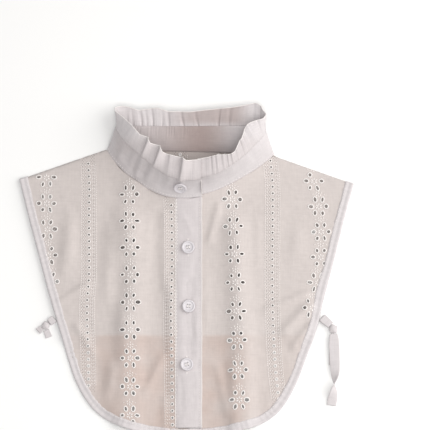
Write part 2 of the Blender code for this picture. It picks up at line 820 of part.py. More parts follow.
def gather_swing(share):
    """Uneven depth of the waves."""
    turn = 2 * math.pi * share
    return RUFFLE_SWING * (1.0 + 0.16 * math.sin(turn * 5 + 1.0) + 0.12 * math.sin(turn * 11))


def gather(share, v):
    """How far the ruffle swings out of its middle surface."""
    grow = RUFFLE_ROOT_SHARE + (1 - RUFFLE_ROOT_SHARE) * v ** 0.8
    ends = smooth(share * RUFFLE_ENDS) * smooth((1.0 - share) * RUFFLE_ENDS)
    return gather_swing(share) * grow * ends * math.sin(gather_phase(share))


def ruffle_parameters(columns):
    """Evenly spaced parameters along the part of the band that carries the ruffle."""
    whole = even_parameters(RINGS["top"], RUFFLE_SAMPLES)
    found = []
    for k in range(columns + 1):
        at = mix(RUFFLE_START, 1.0, k / columns) * RUFFLE_SAMPLES
        i = min(int(at), RUFFLE_SAMPLES - 1)
        found.append(mix(whole[i], whole[i + 1], at - i))
    return found


def build_ruffle():
    columns = RUFFLE_WAVES * RUFFLE_STEPS
    parameters = ruffle_parameters(columns)
    tops = [on_curve(RINGS["top"], t) for t in parameters]
    length = sum((b - a).length for a, b in zip(tops, tops[1:]))
    outer_rows, inner_rows = [], []
    for k, t in enumerate(parameters):
        share = k / columns
        outer, inner = [], []
        for j in range(RUFFLE_ROWS):
            v = j / (RUFFLE_ROWS - 1)
            middle = ruffle_point(t, v)
            out = surface_normal(ruffle_point, t, v)
            before, after = max(0.0, share - SLOPE_STEP), min(1.0, share + SLOPE_STEP)
            slope = (gather(after, v) - gather(before, v)) / ((after - before) * length)
            half = RUFFLE_WALL / 2 * math.sqrt(1.0 + slope * slope)
            outer.append(middle + out * (gather(share, v) + half))
            inner.append(middle + out * (gather(share, v) - half))
        outer_rows.append(outer)
        inner_rows.append(inner)
    add_object("collar_ruffle", swept(wall_sections(outer_rows, inner_rows)), VOILE)


# Buttons

def button_mesh():
    """A turned button with a rounded rim and a dished middle, its back at z = 0."""
    bm = bmesh.new()
    verts = [
        bm.verts.new((BUTTON_RADIUS * row.radius, 0.0, BUTTON_THICK * row.height))
        for row in BUTTON_PROFILE
    ]
    edges = [bm.edges.new(pair) for pair in zip(verts, verts[1:])]
    bmesh.ops.spin(
        bm, geom=verts + edges, cent=(0, 0, 0), axis=(0, 0, 1),
        angle=2 * math.pi, steps=BUTTON_SIDES, use_merge=True,
    )
    bmesh.ops.remove_doubles(bm, verts=bm.verts, dist=1e-4)
    bmesh.ops.recalc_face_normals(bm, faces=bm.faces)
    if bm.calc_volume(signed=True) < 0:
        bmesh.ops.reverse_faces(bm, faces=bm.faces)
    return bm


def place_button(name, foot, normal):
    obj = add_object(name, button_mesh(), BUTTON, 40.0)
    turn = Vector((0, 0, 1)).rotation_difference(normal)
    obj.matrix_world = Matrix.Translation(foot * MM) @ turn.to_matrix().to_4x4()


def build_buttons():
    share, v = COLLAR_BUTTON
    t = share * RING_END
    normal = surface_normal(band_point, t, v)
    place_button("button_1", band_point(t, v) + normal * COLLAR_BUTTON_GAP, normal)
    reach = BUTTON_RADIUS * BUTTON_REACH
    for i, (x, y) in enumerate(BUTTON_PLACES):
        slope_x = (placket_top(x + reach, y) - placket_top(x - reach, y)) / (2 * reach)
        slope_y = (placket_top(x, y + reach) - placket_top(x, y - reach)) / (2 * reach)
        normal = Vector((-slope_x, -slope_y, 1.0)).normalized()
        foot = Vector((x, y, placket_top(x, y))) + normal * BUTTON_GAP
        place_button(f"button_{i + 2}", foot, normal)


# Side ties

def ribbon(rows):
    """A flat ribbon through rows of place, width and turn about its own length."""
    places = [Vector((row.x, row.y, row.z)) for row in rows]
    shapes = [Vector((row.width, row.turn)) for row in rows]
    last = len(rows) - 1
    sections = []
    for k in range(last * RIBBON_STEPS + 1):
        t = k / RIBBON_STEPS
        place = on_curve(places, t)
        width, turn = on_curve(shapes, t)
        ahead = on_curve(places, min(last, t + NEAR)) - on_curve(places, max(0.0, t - NEAR))
        flat_side = Vector((0, 0, 1)).cross(ahead).normalized()
        turned = Matrix.Rotation(math.radians(turn), 3, ahead.normalized())
        across = turned @ flat_side * width / 2
        up = ahead.cross(across).normalized() * RIBBON_WALL / 2
        low, high = place - up, place + up
        sections.append([low - across, low + across, high + across, high - across])
    return swept(sections)


def knot(place):
    """A small rounded knot that sits on the floor."""
    bm = bmesh.new()
    bmesh.ops.create_icosphere(bm, subdivisions=2, radius=1.0)
    for vert in bm.verts:
        x, y, z = vert.co
        rise = (max(z, -KNOT_FOOT) + KNOT_FOOT) / (1.0 + KNOT_FOOT)
        vert.co = Vector((place.x + x * place.width / 2, place.y + y * place.length / 2, rise * place.height))
    return bm


def build_ties():
    for name, rows in TIE_ROWS.items():
        add_object(name, ribbon(table(RIBBON_POINT, rows)), PLAIN)
    for place in KNOT_ROWS:
        add_object(place.name, knot(place), PLAIN)


def main():
    clear_scene()
    build_back_panel()
    build_back_binding()
    for side in ("right", "left"):
        build_front_panel(side)
        build_front_binding(side)
    build_placket()
    build_band()
    build_ruffle()
    build_buttons()
    build_ties()


main()
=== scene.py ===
import math

import bmesh
import bpy
import numpy as np
from mathutils import Matrix, Vector, noise
from mathutils.geometry import delaunay_2d_cdt


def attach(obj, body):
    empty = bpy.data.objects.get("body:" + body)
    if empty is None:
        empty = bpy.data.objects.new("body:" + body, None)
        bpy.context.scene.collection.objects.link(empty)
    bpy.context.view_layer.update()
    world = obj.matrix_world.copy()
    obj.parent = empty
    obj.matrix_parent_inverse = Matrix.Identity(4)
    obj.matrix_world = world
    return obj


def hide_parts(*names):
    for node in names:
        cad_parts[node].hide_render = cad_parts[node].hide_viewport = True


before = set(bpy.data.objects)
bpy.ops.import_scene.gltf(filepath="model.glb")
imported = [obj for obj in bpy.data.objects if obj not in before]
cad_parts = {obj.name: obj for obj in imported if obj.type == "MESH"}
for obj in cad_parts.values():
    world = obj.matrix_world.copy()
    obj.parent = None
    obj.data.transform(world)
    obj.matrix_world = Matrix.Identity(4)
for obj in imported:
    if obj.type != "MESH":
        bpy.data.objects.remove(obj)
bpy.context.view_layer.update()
scene = bpy.context.scene
mm = 0.001  # every table below is in millimetres

# the garment's layers and its neck line, as they lie on the table
layers = {
    "solidWall": 1.0, "top": 0.95, "voile": 0.4, "seamGap": 0.3, "tape": 1.8, "overTape": 0.5, "shoulderSeat": 1.3,
    "placketGap": 0.5, "placketWall": 1.6, "bandWall": 1.6, "backTop": 0.5, "hemStep": (-193, -179), "least": 0.12,
}
neck = {
    "half": 84, "drop": 44, "powerRight": 2.4, "powerLeft": 1.65, "skew": 2, "backRise": 1.8,
    "turnRight": (67, 79.5, 6), "turnLeft": (73, 82.5, 1), "lift": 3, "liftReach": 16, "liftFade": 40,
    "overDrop": 2.2, "overReach": (-54, -26), "cornerSeat": (0.8, 2.1), "backSeat": 0.3,
}
shoulders = {
    "right": ((-80.5, 3.2), (-165.0, -26.6)), "left": ((84.0, -3.8), (160.0, -31.0)),
    "ramp": 12, "rampStart": 54, "tipReach": (126, 142), "quiet": 24, "roll": 3, "rollFrom": 60, "seam": 0.55,
    "smooth": 18,
}

print("collar: curves and drape")


def ease(t):
    t = np.clip(t, 0.0, 1.0)
    return t * t * (3.0 - 2.0 * t)


def ramp(x, start, end):  # 0 at the start, 1 at the end
    return ease((x - start) / (end - start))


def mix(a, b, t):
    return a + (b - a) * t


def unit(v):
    return v / np.linalg.norm(v, axis=-1, keepdims=True)


def alongCurve(points, t):  # an open smooth curve through the points, t counted in points
    pts = np.asarray(points, float)
    last = len(pts) - 1
    padded = np.vstack([2 * pts[0] - pts[1], pts, 2 * pts[-1] - pts[-2]])
    t = np.asarray(t, float)
    i = np.clip(np.floor(t).astype(int), 0, last - 1)
    f = (t - i)[..., None]
    a, b, c, d = padded[i], padded[i + 1], padded[i + 2], padded[i + 3]
    return 0.5 * (2 * b + (c - a) * f + (2 * a - 5 * b + 4 * c - d) * f * f + (3 * b - a - 3 * c + d) * f ** 3)


def runOf(points):
    return np.concatenate([[0.0], np.cumsum(np.linalg.norm(np.diff(points, axis=0), axis=1))])


def readAt(places, run, values):  # each column of the values, read at places along their run
    return np.stack([np.interp(places, run, column) for column in np.transpose(values)], -1)


def evenAt(points, count):  # count + 1 even steps along the curve
    fine = np.linspace(0, len(points) - 1, (len(points) - 1) * 24 + 1)
    run = runOf(alongCurve(points, fine))
    return np.interp(np.linspace(0, run[-1], count + 1), run, fine)


def evenPoints(points, step):
    points = np.asarray(points, float)
    return alongCurve(points, evenAt(points, max(2, round(runOf(points)[-1] / step))))


def movedIn(line, distance, turn):  # a flat line moved to its left (turn 1) or right (turn -1)
    step = np.diff(line, axis=0)
    side = unit(np.stack([-step[:, 1], step[:, 0]], 1) * turn)
    before, after = np.vstack([side[:1], side]), np.vstack([side, side[-1:]])
    return line + (before + after) * distance / (1.0 + (before * after).sum(1, keepdims=True))


def roughness(x, y, size, seed):  # soft uneven noise over the cloth, about -1 to 1
    return np.array([noise.fractal(Vector((a / size, b / size, seed)), 1.0, 2.0, 2) for a, b in zip(x, y)])


# how crumpled each cloth is: size of the lumps, seed, height
crumples = {
    "front": ((9, 3.1, 0.22), (24, 7.7, 0.40)), "back": ((22, 12, 0.12),), "placket": ((17, 21, 0.26), (7, 25, 0.12)),
}


def crumple(x, y, cloth):
    return sum(roughness(x, y, size, seed) * high for size, seed, high in crumples[cloth])


def neckFront(x):  # it turns up into each shoulder
    x = np.asarray(x, float)
    share = np.minimum(1.0, np.abs(x) / neck["half"])
    power = np.where(x < 0, neck["powerRight"], neck["powerLeft"])
    turns = [rise * ramp(np.abs(x), start, end) for start, end, rise in (neck["turnRight"], neck["turnLeft"])]
    return np.where(x < 0, *turns) - neck["drop"] * (1.0 - share ** power) - neck["skew"] * x / neck["half"]


def neckBack(x):
    share = np.minimum(1.0, np.abs(x) / neck["half"])
    return neck["backRise"] * (1.0 - share ** 4) - neck["skew"] * x / neck["half"]


def overDrop(x):
    return np.where(np.asarray(x) < 0, neck["overDrop"] * ramp(x, *neck["overReach"]), 0.0)


def shoulderLine(x):
    sides = [mix(ny, ty, (x - nx) / (tx - nx)) for (nx, ny), (tx, ty) in (shoulders["right"], shoulders["left"])]
    return np.where(np.asarray(x) < 0, *sides)


# the fronts' outer edges: y, x on the wearer's right, x on the left
edgeRows = (
    (-66, -155, 150.4), (-105, -144.5, 140.7), (-137, -136, 131.5), (-163, -128.3, 126), (-182, -122.5, 120.3),
    (-201, -117, 113.2), (-223, -109.5, 104.8), (-243, -98.5, 94.4), (-257, -85.5, 82.6), (-267, -68, 66),
    (-274, -45, 42), (-278, -12.6, 12.6),
)
# the back's hem below its armholes, in the same columns
backHemRows = (
    (-152, -131.5, 128), (-165.5, -126, 122.5), (-173.5, -114, 110.5), (-176.5, -98, 94), (-177.5, -78, 76),
)
edgeStep = 2.2
# the fronts' main folds: from x, y to x, y, height, half width, fade at the ends
foldRows = (
    (-53, -52, -54, -292, 5.2, 13, 30), (-76, -58, -80, -160, 2, 7, 30), (-108, -52, -118, -128, 2.2, 9, 30),
    (-119, -146, -84, -126, 2.4, 7, 30), (-104, -196, -82, -262, 1, 9, 30), (-30, -205, -36, -290, 1.8, 7, 30),
    (-7, -92, -4, -292, 2, 14, 30), (45, -50, 53, -292, 5.4, 11.5, 30), (104, -60, 106, -120, 1.6, 10, 30),
    (84, -212, 74, -268, 0.5, 9, 30),
)
# small creases and troughs between them, in the same columns
creaseRows = (
    (-66, -44, -69, -124, 1.8, 9, 20), (-55, -16, -60, -106, 3, 13, 18), (-63, -138, -67, -300, 3, 8, 30),
    (-43, -165, -42, -240, -1.4, 6, 24), (-116, -46, -122, -132, 1.4, 7, 20), (-106, -56, -110, -112, -0.8, 4.5, 16),
    (-130, -150, -92, -126, 1.5, 3.8, 14), (-124, -146, -104, -150, -0.8, 2.6, 8), (-97, -60, -99, -120, 0.6, 4, 16),
    (-112, -164, -88, -202, 1.8, 4.5, 10), (-76, -196, -74, -264, 2.4, 7, 14), (-23.5, -50, -23, -142, 1.9, 5, 16),
    (-19.5, -118, -18, -208, 1.8, 4.6, 14), (-38, -56, -42, -120, 0.7, 3.6, 18), (-22, -194, -44, -240, 2.1, 4.8, 10),
    (-23, -232, -23, -292, 1.6, 4.2, 12), (-30, -205, -36, -290, -1.4, 7, 20), (31, -44, 18, -94, 1.8, 4, 10),
    (16, -110, 18, -180, 0.7, 4, 20), (26, -202, 38, -264, 1.7, 4.6, 12), (42, -196, 43, -298, 2.3, 6, 26),
    (66, -46, 68, -140, 0.7, 4.5, 26), (57, -150, 59, -294, 1.2, 6.5, 30), (94, -40, 97, -96, -0.6, 4, 18),
    (104, -100, 110, -134, -0.8, 4, 12), (124, -143, 85, -182, 2.9, 5.6, 12), (123, -162, 96, -197, 2.3, 4.8, 10),
    (123, -135, 66, -158, 1.8, 4, 12), (-70, -206, -84, -252, 1.2, 5, 12),
)


def folds(x, y, rows):
    total = np.zeros_like(np.asarray(x, float))
    for x0, y0, x1, y1, height, halfWidth, fade in rows:
        length = math.hypot(x1 - x0, y1 - y0)
        forward = ((x - x0) * (x1 - x0) + (y - y0) * (y1 - y0)) / length
        across = ((x - x0) * (y1 - y0) - (y - y0) * (x1 - x0)) / length
        ends = ease(forward / fade) * ease((length - forward) / fade)
        total = total + height * ends * np.exp(-((across / halfWidth) ** 2))
    return total


def frontFloor(x, y, creased=True):  # the underside of the wearer's left front, which lies lowest
    x, y = np.asarray(x, float), np.asarray(y, float)
    out, below = np.abs(x), shoulderLine(x) - y
    offShoulder = np.where(out > shoulders["rampStart"], ease(below / shoulders["ramp"]), 1.0)
    onTape = np.maximum(offShoulder, ramp(out, *shoulders["tipReach"]))
    seat = mix(layers["shoulderSeat"], layers["tape"] + layers["overTape"], onTape) * ramp(y, *layers["hemStep"])
    underNeck = np.maximum(0.0, neckFront(x) - y) / neck["liftReach"]
    lift = neck["lift"] * np.exp(-(underNeck ** 2)) * ease((neck["half"] - out) / neck["liftFade"])
    high = folds(x, y, foldRows + creaseRows if creased else foldRows)
    high = (high + np.sqrt(high * high + layers["least"])) / 2  # no fold sinks below the layer under it
    return seat + lift + high * ease(below / shoulders["quiet"])


placket = {
    "half": 12.6, "underlap": -11.0, "tuck": 2.4, "stitchAt": (-12.35, 10.2), "climb": (-23.9, -12.9), "high": 1.5,
    "edge": 4.0, "cut": (224.0, 50.0), "foot": -269.2, "waveStep": 0.13,
    "seamRun": (-268.0, -3.4), "sunk": (0.42, 0.12), "seamSizes": ((0.315, 0.45), (0.231, 0.33)), "seamLong": 1.6,
    "edgeRun": (-268.6, -3.0), "edges": ((-12.7, 1.0), (12.5, 1.5)), "edgeRoll": 0.4, "waves": (0.22, 0.12),
}
tape = {"width": 8.5, "tuck": 4.6, "wall": 0.34, "pucker": 0.17, "wobble": (0.22, 0.14), "across": 26}


def frontUnder(side, x, y):  # the right front climbs onto the left one beside the placket
    climb = (layers["solidWall"] + layers["placketGap"]) * ramp(x, *placket["climb"])
    return frontFloor(x, y) + (climb if side == "right" else 0.0)


def frontEdge(side):
    column = 1 if side == "right" else 2
    line = [shoulders[side][1]] + [(row[column], row[0]) for row in edgeRows]
    if side == "right":
        line.append((placket["half"], edgeRows[-1][0]))
    return evenPoints(line, edgeStep)


def backEdge():
    right, left = ([shoulders[side][1]] + [(row[column], row[0]) for row in edgeRows[:2] + backHemRows]
                   for side, column in (("right", 1), ("left", 2)))
    return evenPoints(right + left[::-1], edgeStep)


def seamEdge(outer, turn, width, ends):  # the edge moved in, its ends slid along the shoulder lines
    inner = movedIn(outer, width, turn)
    for end, side in ends.items():
        root, tip = (np.array(p) for p in shoulders[side])
        slope = unit(root - tip)
        edge = unit(outer[1] - outer[0] if end == 0 else outer[-2] - outer[-1])
        inner[end] = tip + slope * (width / abs(slope[0] * edge[1] - slope[1] * edge[0]))
    return inner


def clippedAt(line, xLimit):
    for i in range(len(line) - 1):
        a, b = line[i], line[i + 1]
        if (a[0] - xLimit) * (b[0] - xLimit) <= 0 and a[0] != b[0]:
            return np.vstack([line[:i + 1], mix(a, b, (xLimit - a[0]) / (b[0] - a[0]))])
    return line


print("collar: finishes")


def addNode(tree, kind, inputs=None, **settings):
    node = tree.nodes.new(kind)
    for key, value in settings.items():
        setattr(node, key, value)
    for socket, value in (inputs or {}).items():
        if isinstance(value, bpy.types.NodeSocket):
            tree.links.new(value, node.inputs[socket])
        else:
            node.inputs[socket].default_value = value
    return node


def mathNode(tree, operation, *values, clamp=False):
    return addNode(tree, "ShaderNodeMath", dict(enumerate(values)), operation=operation, use_clamp=clamp).outputs[0]


def summed(tree, base, *terms):  # the base plus each value times its weight
    for value, weight in terms:
        base = mathNode(tree, "MULTIPLY_ADD", value, weight, base)
    return base


def noiseNode(tree, place, scale, detail, **more):
    inputs = {"Vector": place, "Scale": scale, "Detail": detail, **more}
    return addNode(tree, "ShaderNodeTexNoise", inputs).outputs["Fac"]


def attributeNode(tree, name):
    return addNode(tree, "ShaderNodeAttribute", attribute_name=name).outputs["Fac"]


def blendColour(tree, factor, a, b, kind="MIX"):
    return addNode(tree, "ShaderNodeMix", {0: factor, 6: a, 7: b}, data_type="RGBA", blend_type=kind).outputs[2]


def rgb(colour):
    return (*colour, 1.0)


def newMaterial(name, feel):
    mat = bpy.data.materials.new(name)
    mat.use_nodes = True
    shader = mat.node_tree.nodes["Principled BSDF"]
    for socket, value in feel.items():
        shader.inputs[socket].default_value = value
    return mat, mat.node_tree, shader


def dressShader(tree, shader, base, shade, height, distance, strength):  # a shaded colour and a bump
    grey = addNode(tree, "ShaderNodeCombineColor", {0: shade, 1: shade, 2: shade}).outputs[0]
    tree.links.new(blendColour(tree, 1.0, base, grey, "MULTIPLY"), shader.inputs["Base Color"])
    bump = addNode(tree, "ShaderNodeBump", {"Height": height, "Distance": distance, "Strength": strength})
    tree.links.new(bump.outputs[0], shader.inputs["Normal"])


# colours of the cloth; the second voile colour is a painted warm see-through shade for single cloth, and each inside
# colour is painted shade for cloth in the garment's own shade
voile = {"colour": (0.605, 0.550, 0.532), "single": (0.560, 0.462, 0.425), "inside": (0.36, 0.295, 0.265)}
cotton = {"colour": (0.645, 0.607, 0.618), "inside": (0.35, 0.268, 0.25)}
weaving = {
    "thread": 0.00052, "slubs": ((1.0, 14.0, 1.0), (16.0, 1.0, 1.0)), "slubScale": 60.0, "mottleScale": 210.0,
    "base": 0.76, "shade": (0.30, 0.16, 0.05), "height": (0.30, 0.35, 0.22), "bump": (0.00022, 0.55),
    "feel": {"Roughness": 0.88, "Sheen Weight": 0.18, "Sheen Roughness": 0.6, "Specular IOR Level": 0.22},
}
# the pin dots' darkening is painted shade of the pin holes
ladderWork = {
    "dotFrom": 1.9, "dotTo": 6.6, "dotPitch": 2.5, "rowPitch": 0.0033, "dark": 0.42, "pale": 0.05, "relief": 0.8,
}
stitching = {
    "colour": (0.86, 0.82, 0.805), "grain": (2600.0, 2.0), "shade": (0.88, 0.22), "bump": (0.0002, 0.6),
    "feel": {"Roughness": 0.7, "Sheen Weight": 0.2, "Specular IOR Level": 0.35},
}
resin = {
    "colour": (0.66, 0.63, 0.66), "grain": (420.0, 3.0), "twist": 0.8, "shade": (0.92, 0.16), "dull": (0.24, 0.18),
    "bump": (0.0001, 0.25), "feel": {"Coat Weight": 0.25, "Coat Roughness": 0.2},
}


def clothMaterial(name, look, laddered=False):  # cotton read on its own flat cut, in metres
    mat, tree, shader = newMaterial(name, weaving["feel"])
    cut = addNode(tree, "ShaderNodeUVMap", uv_map="cut").outputs[0]
    waves = {"Vector": cut, "Scale": math.pi / 10 / weaving["thread"], "Distortion": 1.2, "Detail Scale": 2.0}
    warp, weft = (addNode(tree, "ShaderNodeTexWave", waves, bands_direction=way).outputs["Fac"] for way in "XY")
    weave = mathNode(tree, "MULTIPLY", warp, weft)
    slubs = []
    for stretch in weaving["slubs"]:  # thicker threads, along and across
        mapped = addNode(tree, "ShaderNodeMapping", {"Vector": cut, "Scale": stretch}).outputs[0]
        slubs.append(noiseNode(tree, mapped, weaving["slubScale"], 3.0))
    slub = mathNode(tree, "MULTIPLY", mathNode(tree, "ADD", *slubs), 0.5)
    mottle = noiseNode(tree, cut, weaving["mottleScale"], 4.0, Roughness=0.6)
    shade = summed(tree, weaving["base"], *zip((slub, mottle, weave), weaving["shade"]))
    height = summed(tree, 0.0, *zip((slub, mottle, weave), weaving["height"]))
    # painted see-through shade on single cloth and painted shade on cloth in the garment's own shade, from the piece's
    # own tone
    tone = attributeNode(tree, "tone")
    single, inside = (mathNode(tree, "MULTIPLY", tone, sign, clamp=True) for sign in (1.0, -1.0))
    base = blendColour(tree, single, rgb(look["colour"]), rgb(voile["single"]))
    base = blendColour(tree, inside, base, rgb(look["inside"]))
    if laddered:  # pin dots beside the little eyelets
        side = attributeNode(tree, "ladder")
        flatY = addNode(tree, "ShaderNodeSeparateXYZ", {0: cut}).outputs[1]
        across, upward = (
            mathNode(tree, "SINE", mathNode(tree, "MULTIPLY", value, 2 * math.pi / pitch))
            for value, pitch in ((side, ladderWork["dotPitch"]), (flatY, ladderWork["rowPitch"])))
        away = mathNode(tree, "ABSOLUTE", side)
        near = mathNode(tree, "MULTIPLY", mathNode(tree, "GREATER_THAN", away, ladderWork["dotFrom"]),
                        mathNode(tree, "LESS_THAN", away, ladderWork["dotTo"]))
        dots = mathNode(tree, "MULTIPLY", mathNode(tree, "MULTIPLY", across, upward, clamp=True), near)
        # the pin dots' darkness is painted shade of the pin holes
        shade = summed(tree, shade, (dots, -ladderWork["dark"]), (near, ladderWork["pale"]))
        height = summed(tree, height, (dots, -ladderWork["relief"]))
    dressShader(tree, shader, base, shade, height, *weaving["bump"])
    return mat


def grainyMaterial(name, look):  # satin stitch with its fine threads, or cloudy resin
    mat, tree, shader = newMaterial(name, look["feel"])
    place = addNode(tree, "ShaderNodeTexCoord").outputs["Object"]
    grains = noiseNode(tree, place, *look["grain"], Distortion=look.get("twist", 0.0))
    shade = summed(tree, look["shade"][0], (grains, look["shade"][1]))
    if "dull" in look:
        tree.links.new(summed(tree, look["dull"][0], (grains, look["dull"][1])), shader.inputs["Roughness"])
    dressShader(tree, shader, rgb(look["colour"]), shade, grains, *look["bump"])
    return mat


panelCloth = clothMaterial("eyeletVoile", voile, laddered=True)
ruffleCloth = clothMaterial("gatheredCotton", cotton)
plainCloth = clothMaterial("plainCotton", cotton)
thread = grainyMaterial("embroideryThread", stitching)
buttonResin = grainyMaterial("satinResin", resin)


# making pieces

def placePiece(name, mesh, material, slot, node=None, wall=0.0, offset=0.0):
    mesh.materials.append(material)
    mesh.shade_smooth()
    piece = bpy.data.objects.new(name, mesh)
    scene.collection.objects.link(piece)
    if wall:
        solid = piece.modifiers.new("wall", "SOLIDIFY")
        solid.thickness, solid.offset, solid.use_rim = wall * mm, offset, True
    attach(piece, "root")
    if node:
        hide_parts(node)
    return piece


def finishPiece(name, bm, *rest):
    bmesh.ops.scale(bm, vec=(mm, mm, mm), verts=bm.verts)
    mesh = bpy.data.meshes.new(name)
    bm.to_mesh(mesh)
    bm.free()
    return placePiece(name, mesh, *rest)


def gridCloth(across, up, place, cutSize, closed=False):  # a grid laid on place(u, v), with the cut in its UV map
    bm = bmesh.new()
    cutMap = bm.loops.layers.uv.new("cut")
    bmesh.ops.create_grid(bm, x_segments=across, y_segments=up, size=0.5)
    for face in bm.faces:
        for loop in face.loops:
            u, v, _ = loop.vert.co
            loop[cutMap].uv = ((u + 0.5) * cutSize[0] * mm, (v + 0.5) * cutSize[1] * mm)
    verts = list(bm.verts)
    flat = np.array([v.co[:2] for v in verts]) + 0.5
    for vert, spot in zip(verts, place(flat[:, 0], flat[:, 1])):
        vert.co = spot
    if closed:  # the last row meets the first one, and the two ends are filled
        bmesh.ops.remove_doubles(bm, verts=bm.verts, dist=1e-4)
        bmesh.ops.holes_fill(bm, edges=[e for e in bm.edges if e.is_boundary], sides=0)
        bmesh.ops.recalc_face_normals(bm, faces=bm.faces)
        if bm.calc_volume(signed=True) < 0:
            bmesh.ops.reverse_faces(bm, faces=bm.faces)
    return bm


def pointValues(mesh, name, values):
    layer = mesh.attributes.new(name, "FLOAT", "POINT")
    layer.data.foreach_set("value", (np.zeros(len(mesh.vertices)) + values).astype(np.float32))


def pointsOf(piece, kind="co"):
    found = np.empty(len(piece.data.vertices) * 3, np.float32)
    piece.data.vertices.foreach_get(kind, found)
    return found.reshape(-1, 3)


def camelName(node):
    first, *others = node.split("_")
    return first + "".join(word.capitalize() for word in others)


def framed(spot, forward, up, scale):  # a matrix with its x forward and its z up
    forward = Vector(forward).normalized()
    side = Vector(up).cross(forward).normalized()
    up = forward.cross(side)
    m = Matrix((forward * scale[0], side * scale[1], up * scale[2])).transposed().to_4x4()
    m.translation = Vector(spot)
    return m


def makeGrain():  # the small round form of a stitch, as arrays
    bm = bmesh.new()
    bmesh.ops.create_icosphere(bm, subdivisions=1, radius=1.0)
    bm.verts.index_update()
    points = np.array([v.co[:] for v in bm.verts])
    faces = [[v.index for v in f.verts] for f in bm.faces]
    bm.free()
    return points, faces


grain = makeGrain()
threadWork = {"long": 2.1, "gap": 0.9, "size": (0.21, 0.30), "upAt": 1.0}


def stitched(name, places, slot="plain_cotton"):  # one grain of thread at each matrix, as one piece
    points, faces = grain
    matrices = [np.array(place) for place in places]
    spots = np.vstack([points @ m[:3, :3].T + m[:3, 3] for m in matrices])
    allFaces = [[v + i * len(points) for v in face] for i in range(len(matrices)) for face in faces]
    mesh = bpy.data.meshes.new(name)
    mesh.from_pydata((spots * mm).tolist(), [], allFaces)
    return placePiece(name, mesh, thread, slot)


def stitchLine(line, ups=None, long=threadWork["long"], size=threadWork["size"], lift=0.0):
    # stitches laid along a line of points, as matrices
    run = runOf(line)
    pitch = long + threadWork["gap"]
    places = []
    for k in range(int(run[-1] / pitch)):
        start = k * pitch
        first, last = readAt([start, start + long], run, line)
        up = (0, 0, 1) if ups is None else readAt(start + threadWork["upAt"], run, ups)
        middle = (first + last) / 2 + np.multiply(up, lift)
        places.append(framed(middle, last - first, up, (long / 2, *size)))
    return places


def tube(path, radius, sides=6):  # a thin round roll along a line of points
    run = runOf(path)
    ahead = unit(np.gradient(path, axis=0))
    side = unit(np.cross(ahead, (0.13, 0.21, 1.0)))
    up = np.cross(side, ahead)

    def place(u, v):
        spot, sideward, upward = (readAt(u * run[-1], run, values) for values in (path, side, up))
        angle = v[:, None] * 2 * math.pi
        return spot + radius * (sideward * np.cos(angle) + upward * np.sin(angle))

    return gridCloth(len(path) - 1, sides, place, (run[-1], 2 * math.pi * radius), closed=True)


print("collar: eyelet panels")

eyelet = {  # the petals are x, y, long, wide, turn
    "petals": ((-3.6, 6.8, 5, 3, 102), (3.6, 6.8, 5, 3, 78), (-7.3, 0.3, 4.9, 3.8, 0),
               (7.3, 0.3, 4.9, 3.8, 0), (-3.6, -6.3, 5, 3, 76), (3.6, -6.3, 5, 3, 104)),
    "petalSides": 16, "petalScale": 0.76, "uneven": 0.24, "turned": 11.0, "moved": 0.28, "rim": (0.66, 0.46),
    "dot": 2.0, "dotSides": 10, "dotRim": (0.56, 0.42), "margin": 1.1, "grid": 1.5, "rimSteps": 5,
    "rimOut": 0.72, "rimUp": 0.2,
}
# the leaves worked above each flower: x, y, turn, long, wide
leafRows = (
    (0, 10.4, 90, 2.6, 1.2), (-1.9, 11.3, 58, 2.3, 1.1), (1.9, 11.3, 122, 2.3, 1.1), (0, 13, 90, 2.4, 1.2),
    (-2.5, 13.6, 42, 2.2, 1.1), (2.5, 13.6, 138, 2.2, 1.1), (0, 15.4, 90, 2, 1), (-5.6, 12.4, 30, 1.6, 0.9),
    (5.6, 12.4, 150, 1.6, 0.9),
)
star = {"rays": 6, "turn": 30, "out": 2.2, "up": 0.2, "long": 3.1, "wide": 1.5}  # in the middle of each flower
# lines of flowers: x at the top, middle and bottom, first y, pitch, growth, count
flowerRows = {
    "right": ((-138.6, -137, -133, -24.8, 25.6, 0, 6), (-58.5, -56.7, -56.8, -16.7, 25.6, 0.13, 10)),
    "left": ((41.8, 45, 48.3, -46.7, 26.8, 0.167, 8), (121, 127.7, 118.8, -28.6, 24.9, 0, 6)),
    "back": [(x, x, x, 3.4, 27.2, 0, 7) for x in (-131, -49.5, 32, 113.5)],
}
# lines of little eyelets: points down the line, then the pitch
ladderRows = {
    "right": ((((-98, -11), (-96.8, -36), (-97, -60), (-96.6, -119), (-98.2, -145), (-98.2, -165), (-97, -196),
                (-96.4, -228)), 6.4),
              (((-17.4, -46), (-16.6, -80), (-16.5, -120), (-17.4, -160), (-16.6, -200), (-15.6, -266)), 6.65)),
    "left": ((((79, -8), (81, -31), (81, -63), (80.5, -116), (80.6, -143), (81.2, -171), (83, -207),
               (86.4, -241)), 6.5),),
    "back": [(((x, top), (x, -90), (x, -166)), 6.4) for x, top in ((-90.7, -4), (-8.7, -1.5), (72.8, -4))],
}
# the lines of stitches beside them: how far out, pitch, slant, long, wide
ladderStitches = (
    (-7.2, 2.1, 0, 1.9, 0.75), (7, 2.1, 0, 1.9, 0.75), (-5.2, 3.3, 40, 1.7, 1.15), (5.3, 3.3, 40, 1.7, 1.15),
    (-3.1, 3.3, 48, 1.6, 0.85), (3.1, 3.3, 48, 1.6, 0.85),
)


def flowerCentres(part):
    found = []
    for top, middle, bottom, first, pitch, growth, count in flowerRows[part]:
        for i in range(count):
            t = i / (count - 1)
            x = top * (1 - t) * (1 - 2 * t) + middle * 4 * t * (1 - t) + bottom * t * (2 * t - 1)
            found.append((x, first - pitch * i - growth * i * i))
    return found


def insideLine(spots, line):  # even and odd crossings
    found = np.zeros(len(spots), bool)
    for a, b in zip(line, np.roll(line, -1, axis=0)):
        if a[1] == b[1]:
            continue
        crosses = (a[1] > spots[:, 1]) != (b[1] > spots[:, 1])
        found ^= crosses & (spots[:, 0] < (b[0] - a[0]) * (spots[:, 1] - a[1]) / (b[1] - a[1]) + a[0])
    return found


